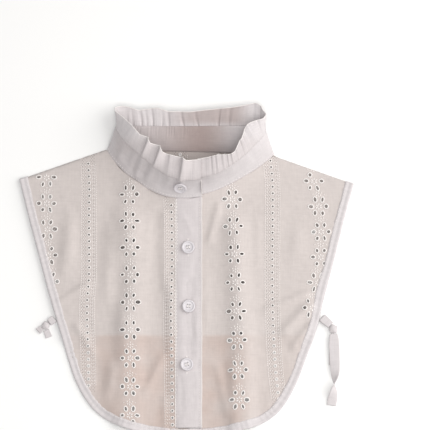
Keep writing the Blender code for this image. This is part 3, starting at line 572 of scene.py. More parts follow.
def nearestTo(spots, line, block=4000):
    return np.concatenate([np.linalg.norm(spots[start:start + block, None] - line[None], axis=2).min(1)
                           for start in range(0, len(spots), block)])


def onCloth(hole, a, b):  # a along an eyelet and b across it, as x and y
    turn = math.radians(hole["turn"])
    return (hole["x"] + a * math.cos(turn) - b * math.sin(turn), hole["y"] + a * math.sin(turn) + b * math.cos(turn))


def ovalEdge(hole):
    angles = np.linspace(0, 2 * math.pi, hole["sides"] + 1)[:-1]
    return np.stack(onCloth(hole, hole["long"] / 2 * np.cos(angles), hole["wide"] / 2 * np.sin(angles)), 1)


def holesOf(part, outline):
    chance = np.random.default_rng(len(part))  # no two eyelets are worked quite alike
    wanted = []
    for cx, cy in flowerCentres(part):
        for dx, dy, long, wide, turn in eyelet["petals"]:
            grow = eyelet["petalScale"] * (1.0 + eyelet["uneven"] * chance.uniform(-1, 1, 2))
            off = eyelet["moved"] * chance.uniform(-1, 1, 2)
            wanted.append({
                "x": cx + dx + off[0], "y": cy + dy + off[1], "long": long * grow[0], "wide": wide * grow[1],
                "turn": turn + eyelet["turned"] * chance.uniform(-1, 1), "sides": eyelet["petalSides"],
                "rim": eyelet["rim"]})
    for line, pitch in ladderRows[part]:
        wanted += [{"x": x, "y": y, "long": eyelet["dot"], "wide": eyelet["dot"], "turn": 0.0,
                    "sides": eyelet["dotSides"], "rim": eyelet["dotRim"]} for x, y in evenPoints(line, pitch)]
    spots = np.array([(h["x"], h["y"]) for h in wanted])
    needed = np.array([h["long"] / 2 + eyelet["margin"] for h in wanted])
    clear = insideLine(spots, outline) & (nearestTo(spots, outline) > needed)
    return [h for h, ok in zip(wanted, clear) if ok]


def inHoles(spots, holes, grow, factor=1.0):
    found = np.zeros(len(spots), bool)
    for h in holes:
        turn = math.radians(h["turn"])
        dx, dy = spots[:, 0] - h["x"], spots[:, 1] - h["y"]
        a = (dx * math.cos(turn) + dy * math.sin(turn)) / (h["long"] / 2 + grow)
        b = (-dx * math.sin(turn) + dy * math.cos(turn)) / (h["wide"] / 2 + grow)
        found |= a * a + b * b < factor
    return found


def clothGrid(outline, holes, step):
    low, high = outline.min(0), outline.max(0)
    rows = []
    for j, y in enumerate(np.arange(low[1], high[1], step * 0.866)):
        xs = np.arange(low[0] + (step / 2 if j % 2 else 0.0), high[0], step)
        rows.append(np.stack([xs, np.full(len(xs), y)], 1))
    spots = np.vstack(rows)
    spots = spots[insideLine(spots, outline)]
    spots = spots[nearestTo(spots, outline) > step * 0.75]
    return spots[~inHoles(spots, holes, 0.55 * step)]


def ladderSide(part, spots, far=40.0, overEnd=7.0):  # how far each point is from the nearest line of little eyelets
    found = np.full(len(spots), far)
    for line, _ in ladderRows[part]:
        line = np.array(line, float)[::-1]
        away = spots[:, 0] - np.interp(spots[:, 1], line[:, 1], line[:, 0])
        away = np.where(spots[:, 1] < line[0, 1] - overEnd, far, away)
        found = np.where(np.abs(away) < np.abs(found), away, found)
    return found


def panelPiece(name, part, outline, top, node, toneAt):
    holes = holesOf(part, outline)
    loops = [outline] + [ovalEdge(h) for h in holes]
    edges, start = [], 0
    for loop in loops:
        edges += [(start + i, start + (i + 1) % len(loop)) for i in range(len(loop))]
        start += len(loop)
    points = np.vstack(loops + [clothGrid(outline, holes, eyelet["grid"])])
    flat, _, faces, *_ = delaunay_2d_cdt([Vector(p) for p in points], edges, [], 0, 1e-5)
    flat, faces = np.array([p[:] for p in flat]), np.array([list(f) for f in faces])
    middles = flat[faces].mean(1)
    faces = faces[insideLine(middles, outline) & ~inHoles(middles, holes, 0.0, 0.93)]
    a, b, c = (flat[faces[:, i]] for i in range(3))
    under = (b[:, 0] - a[:, 0]) * (c[:, 1] - a[:, 1]) - (b[:, 1] - a[:, 1]) * (c[:, 0] - a[:, 0]) < 0
    faces[under] = faces[under][:, ::-1]
    mesh = bpy.data.meshes.new(name)
    spots = np.column_stack([flat, top(flat[:, 0], flat[:, 1])])
    mesh.from_pydata((spots * mm).tolist(), [], faces.tolist())
    loopVerts = np.empty(len(mesh.loops), np.int32)
    mesh.loops.foreach_get("vertex_index", loopVerts)
    mesh.uv_layers.new(name="cut").data.foreach_set("uv", (flat[loopVerts] * mm).astype(np.float32).ravel())
    pointValues(mesh, "ladder", ladderSide(part, flat))
    pointValues(mesh, "tone", toneAt(flat[:, 0], flat[:, 1]))
    print("  ", name, len(faces), "faces,", len(holes), "holes")
    return placePiece(name, mesh, panelCloth, "eyelet_voile", node, layers["voile"], -1.0), holes


def rimPiece(name, holes, top):  # satin stitched rims, on the cloth
    bm = bmesh.new()
    for h in holes:
        wide, high = h["rim"]
        grid = bmesh.ops.create_grid(bm, x_segments=h["sides"], y_segments=eyelet["rimSteps"], size=0.5)["verts"]
        angles, swell = ((np.array([v.co[:2] for v in grid]) + 0.5) * 2 * math.pi).T
        out = wide * eyelet["rimOut"] + wide * np.cos(swell)
        x, y = onCloth(h, (h["long"] / 2 + out) * np.cos(angles), (h["wide"] / 2 + out) * np.sin(angles))
        z = top(x, y) + high * np.sin(swell) + high * eyelet["rimUp"]
        for vert, spot in zip(grid, zip(x, y, z)):
            vert.co = spot
    bmesh.ops.remove_doubles(bm, verts=bm.verts, dist=1e-3)
    bmesh.ops.recalc_face_normals(bm, faces=bm.faces)
    return finishPiece(name, bm, thread, "eyelet_voile")


def embroidery(name, part, outline, top):  # the grains between the petals and the lines beside the ladders
    places = []

    def lay(x, y, angle, long, wide, high=0.44, lift=0.05):
        spot = np.array([[x, y]])
        if not insideLine(spot, outline)[0] or nearestTo(spot, outline)[0] < 1.0:
            return
        z = float(top(np.array([x]), np.array([y]))[0])
        forward = (math.cos(angle), math.sin(angle), 0)
        places.append(framed((x, y, z + lift), forward, (0, 0, 1), (long / 2, wide / 2, high)))

    for cx, cy in flowerCentres(part):
        for k in range(star["rays"]):
            angle = math.radians(star["turn"] + 360 / star["rays"] * k)
            lay(cx + star["out"] * math.cos(angle), cy + star["up"] + star["out"] * math.sin(angle), angle,
                star["long"], star["wide"])
        for dx, dy, turn, long, wide in leafRows:
            lay(cx + dx, cy + dy, math.radians(turn), long, wide)
    for line, _ in ladderRows[part]:
        for side, pitch, slant, long, wide in ladderStitches:
            path = evenPoints(np.array(line) + (side, 0.0), pitch)
            for i, (a, b) in enumerate(zip(path, path[1:])):
                along = math.atan2(b[1] - a[1], b[0] - a[0])
                lay(*(a + b) / 2, along + math.radians(slant) * (-1) ** i, long, wide)
    return stitched(name, places, "eyelet_voile")


# where the neck cut ends and the shoulder cut starts, and how far the cloth goes under the band
frontCorner = {"right": (78.0, 80.8), "left": (81.0, 84.3)}
backCorner = {"right": (77.5, 81.5), "left": (80.5, 85.0)}
underBand = {"front": 0.8, "back": 0.4, "placket": 0.6}


def frontOutline(side):
    outer = frontEdge(side)
    inner = seamEdge(outer, 1 if side == "right" else -1, tape["tuck"], {0: side})
    centre = -placket["half"] + placket["tuck"] if side == "right" else placket["underlap"]
    low = clippedAt(inner, centre)
    if side == "left":
        low = np.vstack([low, [centre, low[-1][1]]])
    top = float(neckFront(centre) - overDrop(centre)) + underBand["front"]
    ys = np.linspace(low[-1][1], top, 110)[1:-1]
    cornerX, shoulderX = (math.copysign(x, low[0][0]) for x in frontCorner[side])
    xs = np.linspace(centre, cornerX, 60)
    run = np.linspace(shoulderX, low[0][0], 34)[:-1]
    return np.vstack([low, np.column_stack([np.full(len(ys), centre), ys]),
                      np.column_stack([xs, neckFront(xs) - overDrop(xs) + underBand["front"]]),
                      np.column_stack([run, shoulderLine(run)])])


def backOutline():
    inner = seamEdge(backEdge(), 1, tape["tuck"], {0: "right", -1: "left"})
    left = np.linspace(backCorner["left"][1], inner[-1][0], 30)[1:-1][::-1]
    right = np.linspace(inner[0][0], -backCorner["right"][1], 30)[1:-1][::-1]
    xs = np.linspace(backCorner["left"][0], -backCorner["right"][0], 80)
    return np.vstack([inner, np.column_stack([left, shoulderLine(left)]),
                      np.column_stack([xs, neckBack(xs) + underBand["back"]]),
                      np.column_stack([right, shoulderLine(right)])])


def frontTop(side):
    def top(x, y):
        x, y = np.asarray(x, float), np.asarray(y, float)
        z = frontUnder(side, x, y) + layers["top"]
        below = shoulderLine(x) - y
        # the shoulder seam turns down onto the back
        seam = mix(layers["backTop"] + shoulders["seam"], z, ease(below / shoulders["roll"]))
        seat = np.where(np.abs(x) > shoulders["rollFrom"], seam, z)
        return seat + crumple(x, y, "front") * ease(below / shoulders["smooth"])
    return top


def backTop(x, y):
    return layers["backTop"] + crumple(x, y, "back")


# tone above 0 is a painted warm see-through shade on single cloth, and tone below 0 is painted shade on cloth in the
# garment's own shade, or an even darker tint on the placket strip
tones = {
    "middle": ((-96, -80), (62, 44)), "hemFade": 4, "neckReach": (-30, -18), "single": 0.22, "seenThroughMiddle": 0.70,
    "patches": (0.82, 0.45, 21, 31), "neckShade": -0.25, "strip": -0.10, "bandInsideShade": 0.22, "bandMiddleShade": 0.62,
    "bandOutsideShade": 0.12, "ruffleFrontShade": -0.16, "ruffleBackShade": -0.60,
}


# painted warm see-through shade on the single layer below the back's hem, in patches and stronger in the middle
def frontTone(x, y):  # one layer below the back's hem, two above it
    right, left = tones["middle"]
    middle = ramp(x, *right) * ramp(x, *left)
    below = ease((backHemRows[-1][0] - y) / tones["hemFade"])
    even, uneven, size, seed = tones["patches"]
    patches = even + uneven * roughness(x, y, size, seed)
    return below * (tones["single"] + tones["seenThroughMiddle"] * middle) * patches


# painted shade on the back's inside, growing towards the neck
def backTone(x, y):
    return tones["neckShade"] * ramp(y, *tones["neckReach"])


panels = {}
for part, place, outline, node, toneAt in (
    ("back", backTop, backOutline(), "back_panel", backTone),
    ("right", frontTop("right"), frontOutline("right"), "front_right_panel", frontTone),
    ("left", frontTop("left"), frontOutline("left"), "front_left_panel", frontTone),
):
    cloth, holes = panelPiece(part + "Panel", part, outline, place, node, toneAt)
    rims = rimPiece(part + "EyeletRims", holes, place)
    work = embroidery(part + "Embroidery", part, outline, place)
    panels[part] = {"cloth": cloth, "with": [rims, work], "outline": outline}

# bindings: a tape folded over the cloth's edge

print("collar: bindings and placket")

tapeSection = np.array((  # how far in from the fold, and how high above the underside
    (8.3, 0.12), (6.0, 0.10), (3.2, 0.12), (1.2, 0.18), (0.42, 0.36), (0.10, 0.66), (0.12, 1.0), (0.50, 1.44),
    (1.3, 1.84), (2.2, 1.86), (3.3, 1.58), (4.4, 1.34), (5.4, 1.46), (6.3, 1.72), (7.1, 1.62), (7.9, 1.34),
    (8.5, 1.02),
))


def bindingPiece(name, outer, ends, under, node, seed):
    inner = seamEdge(outer, 1, tape["width"], ends)
    length = runOf(outer)[-1]
    sectionRun = runOf(tapeSection)
    parameters = np.linspace(0, 1, len(outer))
    long = (len(outer) - 1) * 2

    def place(u, v):
        o, i = (readAt(u, parameters, line) for line in (outer, inner))
        inAt, high = readAt(v * sectionRun[-1], sectionRun, tapeSection).T
        run = u * length
        pucker = tape["pucker"] * np.sin(run * 0.95 + 1.6 * np.sin(run * 0.21 + seed)) * ramp(high, 0.6, 1.2)
        wobble = tape["wobble"][0] * np.sin(run * 0.11 + seed) + tape["wobble"][1] * np.sin(run * 0.37 + 2 * seed)
        spot = o + (i - o) * ((inAt + wobble * ramp(inAt, 5, 8)) / tape["width"])[:, None]
        z = under(spot[:, 0], spot[:, 1]) + high + pucker
        return np.column_stack([spot, np.maximum(z, 0.06)])

    cloth = gridCloth(long, tape["across"], place, (length, sectionRun[-1]))
    piece = finishPiece(name, cloth, plainCloth, "plain_cotton", node, tape["wall"], -1.0)
    pointValues(piece.data, "tone", 0.0)
    stitchAt = 1.0 - np.linalg.norm(tapeSection[-1] - tapeSection[-3]) / sectionRun[-1]
    places = stitchLine(place(np.linspace(0.003, 0.997, long), np.full(long, stitchAt)))
    return [piece, stitched(name + "Stitches", places)]


rightEdge, leftEdge = frontEdge("right"), frontEdge("left")
leftEdge[-1][0] = placket["half"] + 0.3
bindings = {
    "right": bindingPiece("rightBinding", rightEdge, {0: "right"}, lambda x, y: frontUnder("right", x, y),
                          "front_right_binding", 1.0),
    "left": bindingPiece("leftBinding", leftEdge[::-1], {-1: "left"}, frontFloor, "front_left_binding", 4.0),
    "back": bindingPiece("backBinding", backEdge(), {0: "right", -1: "left"}, lambda x, y: 0.0 * x,
                         "back_binding", 2.0),
}


# the placket, a folded strip with the buttonholes

placketSection = np.array((  # x across, and how high above the underside
    (-10.2, 0.14), (-5.0, 0.10), (0.0, 0.10), (6.0, 0.10), (11.2, 0.14), (12.2, 0.36), (12.62, 0.84), (12.45, 1.38),
    (11.9, 1.96), (11.1, 1.80), (10.2, 1.16), (9.2, 1.40), (6.0, 1.56), (0.0, 1.58), (-6.0, 1.56), (-9.6, 1.48),
    (-11.2, 1.28), (-12.2, 1.12), (-12.62, 1.02),
))
# soft creases between the buttons, in the columns of the fronts' folds
placketRows = (
    (-0.5, -120, 0.5, -206, -1.3, 4.4, 10), (8.5, -140, 8, -204, 0.6, 3, 10), (8.5, -206, 9, -262, 0.5, 3.2, 12),
    (-7, -58, 4, -84, 0.6, 2.6, 8), (6, -98, 4, -146, -0.5, 3, 10), (-8, -214, -6, -258, -0.5, 2.8, 10),
    (2, -166, 8, -198, -0.4, 2.4, 8),
)


def placketUnder(x, y):
    return frontFloor(x, y) + layers["solidWall"] + layers["placketGap"]


def placketRipple(x, y):
    return crumple(x, y, "placket") + folds(x, y, placketRows)


def placketInside(x):
    return ease((placket["half"] - np.abs(x)) / placket["edge"])


def placketWave(y, wide):  # its long edges aren't ruled
    return wide * np.sin(y * placket["waveStep"])


def placketPlace(u, v):
    run = runOf(placketSection)
    x, high = readAt(v * run[-1], run, placketSection).T
    y = mix(placket["foot"], neckFront(x) - layers["seamGap"] - neck["overDrop"] + underBand["placket"], u)
    inside = placketInside(x)
    x = x + placketWave(y, placket["waves"][0]) * ramp(np.abs(x), 9, 12)
    return np.column_stack([x, y, placketUnder(x, y) + high + placketRipple(x, y) * ramp(high, 0.9, 1.4) * inside])


strip = finishPiece("placketStrip", gridCloth(140, 40, placketPlace, placket["cut"]), plainCloth, "plain_cotton",
                    "front_placket", layers["voile"], -1.0)
pointValues(strip.data, "tone", tones["strip"])


def placketTop(x, y):
    x, y = np.atleast_1d(x), np.atleast_1d(y)
    return placketUnder(x, y) + placket["high"] + placketRipple(x, y) * placketInside(x)


placketSeams, placketEdges = [], []
for x, sunk, size in zip(placket["stitchAt"], placket["sunk"], placket["seamSizes"]):
    first, short = placket["seamRun"]
    ys = np.linspace(first, float(neckFront(x)) + short, 160)
    xs = np.full(len(ys), x)
    line = np.column_stack([xs, ys, placketTop(xs, ys) - sunk])
    placketSeams += stitchLine(line, long=placket["seamLong"], size=size)
placketStitches = stitched("placketStitches", placketSeams)
# rolls along the placket's edges in the brighter thread finish: partly stitching, partly a painted highlight on the
# folded edge
for x, high in placket["edges"]:
    first, short = placket["edgeRun"]
    ys = np.linspace(first, float(neckFront(x)) + short, 200)
    under = placketUnder(np.full(len(ys), x), ys)
    placketEdges.append(np.column_stack([x + placketWave(ys, placket["waves"][1]), ys, under + high]))


# the stand collar and its ruffle

print("collar: band and ruffle")

# where each station meets the neck, how far the band dips, its top and the ruffle's free edge
stationRows = (
    ("front", -11, 5, (-10, -30.4, 26), (-10, -11.4, 30)),
    ("front", 4, 5, (4, -30.2, 26.2), (4, -11.8, 30.4)),
    ("front", 28, 4, (25.5, -26, 27), (24.5, -8.6, 32)),
    ("front", 54, 2.5, (48, -12.5, 27), (45, -1, 33)),
    ("front", 73, 1, (65, 4.5, 22.5), (57, 19, 29)),
    ("corner", 82.5, 0, (74, 18, 14.5), (72, 29, 21)),
    ("back", 73, 0, (69, 25, 7.5), (68.5, 43.5, 12.5)),
    ("back", 48, 0, (46, 25.8, 7), (48, 44.5, 12)),
    ("back", 0, 0, (0, 25.4, 7), (0, 41, 12)),
    ("back", -48, 0, (-46, 25.6, 7), (-48, 42, 12)),
    ("back", -70.5, 0, (-66.5, 25.5, 7), (-66, 43.5, 12)),
    ("corner", -79.5, 0, (-71, 23, 13), (-70.5, 39, 18)),
    ("front", -72, 1, (-63, 8, 22), (-54.5, 22, 28.5)),
    ("front", -54, 2.5, (-46, -8.5, 27), (-41, 8.5, 32)),
    ("over", -28, 4, (-25, -25.6, 28.4), (-21.5, -5.4, 34)),
    ("over", -6, 5, (-6, -32.4, 28.4), (-5, -12.6, 34.6)),
    ("over", 12.6, 5, (11.6, -31.8, 28.2), (11.6, -13, 34.2)),
)
band = {
    "columns": 560, "rows": 76, "cut": (395, 56), "high": 26, "near": 0.04, "seamAt": 0.08, "foot": -0.012,
    "endSunk": 0.4, "endRoll": 0.42, "seamSize": (0.2, 0.26), "seamLift": 0.1, "foldFade": 6.0,
    "foldShare": 1.4, "drawn": (0.22, 0.03),
}
ruffle = {
    "columns": 960, "rows": 16, "start": 0.05, "stand": 5, "gap": 0.05, "ends": 30, "wall": 0.42, "hem": 0.45,
    "cutWidth": 21, "deep": (0.16, 0.82), "behind": ((5.2, 6), (11.4, 10.6)), "near": (0.03, 0.05),
    "gatherAt": (0, 1, 4.5, 6, 6.6, 10.4, 11, 11.8, 15.2, 16),
    "gatherDeep": (0.25, 0.30, 0.35, 0.40, 0.06, 0.08, 0.30, 0.08, 0.10, 0.25),
    "pitch": 6.4, "tuckPitch": 2.3, "tuck": 0.12,
}
# wide folds of the front: place on the ring at the root and the edge, height there, half width before and after, lean
wideFolds = (
    (12.20, 12.25, 0.4, 1.3, 6, 7, 0.4), (13.02, 13.18, 1.2, 5.2, 1.5, 2.6, 0.6),
    (13.56, 13.76, 1.4, 5.8, 1.5, 3, 0.8), (14.22, 14.30, 0.5, 1.6, 2.6, 4.2, 0.8),
    (14.86, 15.08, 2, 5.4, 1.6, 4, 1.4), (15.60, 15.66, 0.3, 1.2, 2.6, 3, 0.4), (0.60, 0.62, 0.2, 0.6, 3.4, 4.4, 0.2),
    (1.45, 1.42, 0.1, 0.6, 3, 4.2, 0.2), (2.10, 2.05, 0.3, 1, 4.2, 5.4, 0.4), (2.85, 2.82, 0.1, 0.7, 2.6, 3.8, 0.3),
    (3.50, 3.42, 0.3, 0.9, 3.6, 4.6, 0.3), (4.15, 4.05, 0.4, 1.6, 2.8, 4.2, 0.8), (4.75, 4.70, 0.3, 0.9, 2, 2.6, 0.3),
    (5.25, 5.20, 0.4, 1.4, 3, 3, 0.3), (11.05, 11.10, 0.4, 1.5, 3, 3.4, 0.4),
)
# narrow pleats at the back, pressed away from the neck
narrowPleats = (
    (8.99, 9.02, 1.3, 0.5, 0.8, 1.1, 0.2), (8.865, 8.86, 0.9, 0.3, 0.7, 0.9, 0.1),
    (8.72, 8.73, 1.4, 0.8, 0.8, 1.1, 0.2), (8.53, 8.50, 0.8, 0.3, 0.7, 0.9, 0.1), (8.40, 8.41, 1.5, 0.9, 0.8, 1, 0.2),
    (8.107, 8.17, 1.5, 0.5, 0.8, 1, 0.2),
    (7.81, 7.88, 1.2, 0.3, 0.8, 1, 0.1), (7.41, 7.42, 1.6, 0.6, 0.8, 1.1, 0.2), (7.18, 7.20, 1, 0.5, 0.8, 1, 0.1),
    (9.30, 9.32, 1, 0.7, 1.2, 1.4, 0.2), (9.62, 9.60, 1.2, 1, 1.4, 1.6, 0.3), (10.10, 10.12, 0.9, 1.2, 1.8, 2, 0.2),
)
# how far the ruffle's free edge rises or drops from an even line: place on the ring, mm
edgeLifts = (
    (0, 0), (2.2, -0.4), (2.45, -1.8), (2.72, -3.2), (2.93, -2.8), (3.1, -0.2), (3.3, 1.3), (3.5, 0.5), (3.75, 1.6),
    (4, 3), (4.3, 3), (4.7, 2.8), (5.2, 1.8), (5.6, 0.4), (6.05, 1.8), (6.33, 2.3), (6.83, 0.2), (7.17, -1.2),
    (7.37, -1.3), (7.69, -1.5), (8, -2.5), (8.2, -2.1), (8.39, -2.2), (8.59, 1), (8.78, -0.2), (9.03, -2.1),
    (9.37, 0.3), (9.85, 0.6), (10.6, 0), (12, -0.5), (12.6, -1.6), (13.08, 1.8), (13.26, -1.8), (13.66, 2),
    (13.86, -2.4), (14.3, -0.8), (14.96, 1.6), (15.2, -1.4), (15.5, -0.4), (16, 0),
)
# soft creases down the band: place on the ring and share of its height, twice, then height or depth and half width
bandFolds = (
    (12.05, 1.3, 12.15, 0.1, 0.7, 4.5), (12.50, 1.3, 12.42, 0.2, -0.7, 4), (12.88, 1.3, 12.78, 0.1, -0.9, 2.8),
    (13.10, 1.3, 13.02, 0, 0.8, 2.6), (13.42, 1.3, 13.20, 0.2, -1, 2.6), (13.64, 1.3, 13.40, 0.1, 0.7, 3),
    (14.10, 1.2, 13.85, 0.1, -0.5, 3.2), (14.45, 1.2, 14.20, 0.3, 0.5, 3.2), (14.74, 1.3, 14.60, 0.4, -1, 2.4),
    (15.00, 1.3, 14.90, 0.3, 0.6, 2.6), (1.50, 1.2, 1.55, 0.2, -0.3, 4), (2.55, 1.2, 2.70, 0.3, 0.35, 5),
    (3.55, 1.3, 3.70, 0.2, -0.4, 4), (4.35, 1.3, 4.40, 0.1, 0.4, 4.5),
)


def seatPoint(seat, x):
    if seat == "corner":
        further, high = neck["cornerSeat"]
        return (x, float(neckBack(x)) + further, high)
    if seat == "back":
        return (x, float(neckBack(x)), neck["backSeat"])
    over = seat == "over"
    y = float(neckFront(x)) - (neck["overDrop"] if over else float(overDrop(x)))
    step = layers["placketGap"] + layers["placketWall"] if over else 0.0
    return (x, y, float(frontFloor(x, y - layers["seamGap"], False)) + layers["solidWall"] + step)


rings = {
    "seat": [seatPoint(row[0], row[1]) for row in stationRows], "dish": [(row[2],) for row in stationRows],
    "top": [row[3] for row in stationRows], "edge": [row[4] for row in stationRows],
}
ringEnd = len(stationRows) - 1.0
ringShares = np.linspace(0, 1, 1001)
ringSteps = evenAt(rings["top"], len(ringShares) - 1)
ringLength = float(runOf(alongCurve(rings["top"], ringSteps))[-1])


def ringRun(t):  # millimetres along the band's top
    return np.interp(t, ringSteps, ringShares * ringLength)


def ringPlace(share):
    return np.interp(share, ringShares, ringSteps)


def step(surface, t, v, ahead, up):  # from just before a point of a surface to just after it
    def at(way):
        return surface(np.clip(t + way * ahead, 0.0, ringEnd), np.clip(v + way * up, 0.0, 1.0))
    return at(1) - at(-1)


def surfaceNormal(surface, t, v):
    return unit(np.cross(step(surface, t, v, band["near"], 0.0), step(surface, t, v, 0.0, band["near"])))


def bentLine(first, middle, last, v):
    v = np.asarray(v, float)[..., None]
    return first * (1 - v) ** 2 + middle * 2 * v * (1 - v) + last * v * v


def bandPoint(t, v):
    seat, top = alongCurve(rings["seat"], t), alongCurve(rings["top"], t)
    ahead = step(lambda along, _: alongCurve(rings["top"], along), t, v, band["near"], 0.0)
    out = unit(np.cross(ahead, top - seat))
    return bentLine(seat, (seat + top) / 2 - out * alongCurve(rings["dish"], t), top, v)


def rufflePoint(t, v):
    t = np.asarray(t, float)
    top, edge = bandPoint(t, np.ones_like(t)), alongCurve(rings["edge"], t)
    up = unit(top - bandPoint(t, np.ones_like(t) - band["near"]))
    out = surfaceNormal(bandPoint, t, np.ones_like(t))
    behind = np.prod([ramp(t, *reach) for reach in ruffle["behind"]], axis=0)
    root = top - out * (layers["bandWall"] * mix(*ruffle["deep"], behind))[..., None] + up * ruffle["gap"]
    return bentLine(root, root + up * ruffle["stand"], edge, v)


bandSection = np.array((  # v up the band and how deep in its wall, round the folded strip
    (0.5, 0.0), (0.985, 0.0), (1.0, 0.2), (1.006, 0.55), (1.0, 0.85), (0.985, 1.0), (0.5, 1.0), (0.03, 1.0),
    (0.008, 0.85), (0.0, 0.5), (0.008, 0.15), (0.03, 0.0), (0.5, 0.0),
))


def bandCrease(t, v, inner):
    run, up = ringRun(t), v * band["high"]
    rows = [(ringRun(t0), v0 * band["high"], ringRun(t1), v1 * band["high"], high, half, band["foldFade"])
            for t0, v0, t1, v1, high, half in bandFolds]
    soft = 0.10 * np.sin(run * 0.16 + up * 0.1) + 0.07 * np.sin(run * 0.41 - up * 0.2)
    # inside, it is drawn up in small tucks, most of all at the back on the wearer's right
    drawn = ramp(t, 7.7, 8.3) * ramp(t, 9.8, 9.3) * band["drawn"][0] + band["drawn"][1]
    small = np.sin(run * 1.75 + 2.6 * np.sin(run * 0.37)) * (0.7 + 0.5 * np.sin(run * 0.53 + 1.0))
    small = small + 0.5 * np.sin(run * 3.1 + 3.0 * np.sin(run * 0.29))
    fall = ease((v - 0.45 - 0.3 * np.sin(run * 0.61) * np.sin(run * 0.17)) / 0.5)
    return soft + np.where(inner, small * drawn * fall, band["foldShare"] * folds(run, up, rows))


def bandPlace(u, w):
    ring = runOf(bandSection * (band["high"], layers["bandWall"]))
    v, deep = readAt(w * ring[-1], ring, bandSection).T
    t, v = ringPlace(u), mix(band["foot"], 1.0, v)
    vIn = np.clip(v, 0.0, 1.0)
    crease = bandCrease(t, vIn, deep > 0.5) * ease(vIn / 0.2) * ease((1.02 - vIn) / 0.08)
    ends = ease(u * band["columns"]) * ease((1 - u) * band["columns"])
    depth = mix(layers["bandWall"] * 0.5, layers["bandWall"] * deep, ends)
    normal = surfaceNormal(bandPoint, t, vIn)
    return bandPoint(t, v) - normal * (depth - crease * np.where(deep > 0.5, -1.0, 1.0) * ends)[:, None]


bandGrid = gridCloth(band["columns"], band["rows"], bandPlace, band["cut"], closed=True)
bandPiece = finishPiece("collarBand", bandGrid, plainCloth, "plain_cotton", "collar_band")
x, y, _ = (pointsOf(bandPiece) / mm).T
# painted shade on the band inside the neck, deepest near the back's middle, and a lighter painted shade on the front of
# the band on the wearer's right
inward = ramp(y, -6, 3) * ramp(pointsOf(bandPiece, "normal")[:, 2], -0.1, 0.2) * ramp(np.abs(x), 76, 68)
middle = np.exp(-(((x - 12.0) / np.where(x < 12.0, 36.0, 22.0)) ** 2))
inside = inward * (tones["bandInsideShade"] * ramp(x, 48, 26) + tones["bandMiddleShade"] * middle)
outside = (1 - inward) * ramp(x, -4, -54) * ramp(y, 10, -4) * tones["bandOutsideShade"]
pointValues(bandPiece.data, "tone", -inside - outside)


def onRing(rows, run, v, grow):  # how high folds stand out of the ruffle, and how far they lean along it
    high, lean = np.zeros_like(run), np.zeros_like(run)
    for rootAt, edgeAt, rootHigh, edgeHigh, before, after, leaning in rows:
        away = run - ringRun(mix(rootAt, edgeAt, v))
        share = np.exp(-((away / (np.where(away < 0, before, after) * (1.0 + grow * v))) ** 2))
        high = high + share * mix(rootHigh, edgeHigh, v)
        lean = lean - share * leaning * v
    return high, lean


def smallGathers(t, run, v):
    phase = run * 2 * math.pi / ruffle["pitch"] + 1.7 * np.sin(run * 0.13 + 0.6) + 1.0 * np.sin(run * 0.31 + 2.0)
    wave = np.sin(phase) + 0.4 * np.sin(2 * phase + 0.9 + 1.7 * np.sin(run * 0.09))
    tucks = ruffle["tuck"] * np.sin(run * 2 * math.pi / ruffle["tuckPitch"] + 1.5 * np.sin(run * 0.47))
    return np.interp(t, ruffle["gatherAt"], ruffle["gatherDeep"]) * (0.3 + 0.7 * v ** 0.8) * wave + tucks * (1 - v) ** 2


def rufflePlace(u, v):
    t = ringPlace(mix(ruffle["start"], 1.0, u))
    run = ringRun(t)
    wide, lean = onRing(wideFolds, run, v, 0.35)
    narrow, tilt = onRing(narrowPleats, run, v, 1.4)
    ends = ease(u * ruffle["ends"]) * ease((1.0 - u) * ruffle["ends"])
    high = (wide + narrow + smallGathers(t, run, v)) * ends
    along = (lean + tilt) * ends
    rise = np.interp(t, *zip(*edgeLifts)) * v * v
    return (rufflePoint(t, v) + surfaceNormal(rufflePoint, t, v) * high[:, None]
            + unit(step(rufflePoint, t, v, ruffle["near"][0], 0.0)) * along[:, None]
            + unit(step(rufflePoint, t, v, 0.0, ruffle["near"][1])) * rise[:, None])


edgeShares = np.linspace(0, 1, ruffle["columns"] + 1)
hemPath = rufflePlace(edgeShares, np.ones_like(edgeShares))
ruffleCut = (float(runOf(hemPath)[-1]), ruffle["cutWidth"])  # the strip's length is that of its free edge
print("   ruffle cut", ruffleCut)
ruffleGrid = gridCloth(ruffle["columns"], ruffle["rows"], rufflePlace, ruffleCut)
rufflePiece = finishPiece("collarRuffle", ruffleGrid, ruffleCloth, "eyelet_voile", "collar_ruffle", ruffle["wall"], 0.0)
x, y, _ = (pointsOf(rufflePiece) / mm).T
# painted shade on the ruffle: light at the front, deep at the back, most of all just to the wearer's left of the middle
atFront, atBack = ramp(y, 16, 2), ramp(y, 22, 32) * ramp(x, -34, 11) * ramp(x, 64, 42)
pointValues(rufflePiece.data, "tone", tones["ruffleFrontShade"] * atFront + tones["ruffleBackShade"] * atBack)

# the placket's edge rolls, partly stitching and partly a painted highlight
for name, path in zip(("placketInnerEdge", "placketOuterEdge"), placketEdges):
    finishPiece(name, tube(path, placket["edgeRoll"]), thread, "plain_cotton")
ruffleHem = finishPiece("ruffleHem", tube(hemPath, ruffle["hem"]), thread, "eyelet_voile")

# the band's upper end is a folded edge, a roll in the brighter thread finish: partly stitching, partly a painted
# highlight
endShare = np.linspace(0.02, 0.98, 48)
endAt = np.full(len(endShare), ringEnd)
endLine = bandPoint(endAt, endShare) - surfaceNormal(bandPoint, endAt, endShare) * band["endSunk"]
finishPiece("bandEnd", tube(endLine, band["endRoll"]), thread, "plain_cotton")

# topstitching just above the neck seam
neckT = ringPlace(np.linspace(0.004, 0.996, 700))
seamAt = np.full(len(neckT), band["seamAt"])
seamOut = surfaceNormal(bandPoint, neckT, seamAt)
seamLine = bandPoint(neckT, seamAt)
stitched("bandStitches", stitchLine(seamLine, ups=seamOut, size=band["seamSize"], lift=band["seamLift"]))

print("collar: buttons and ties")

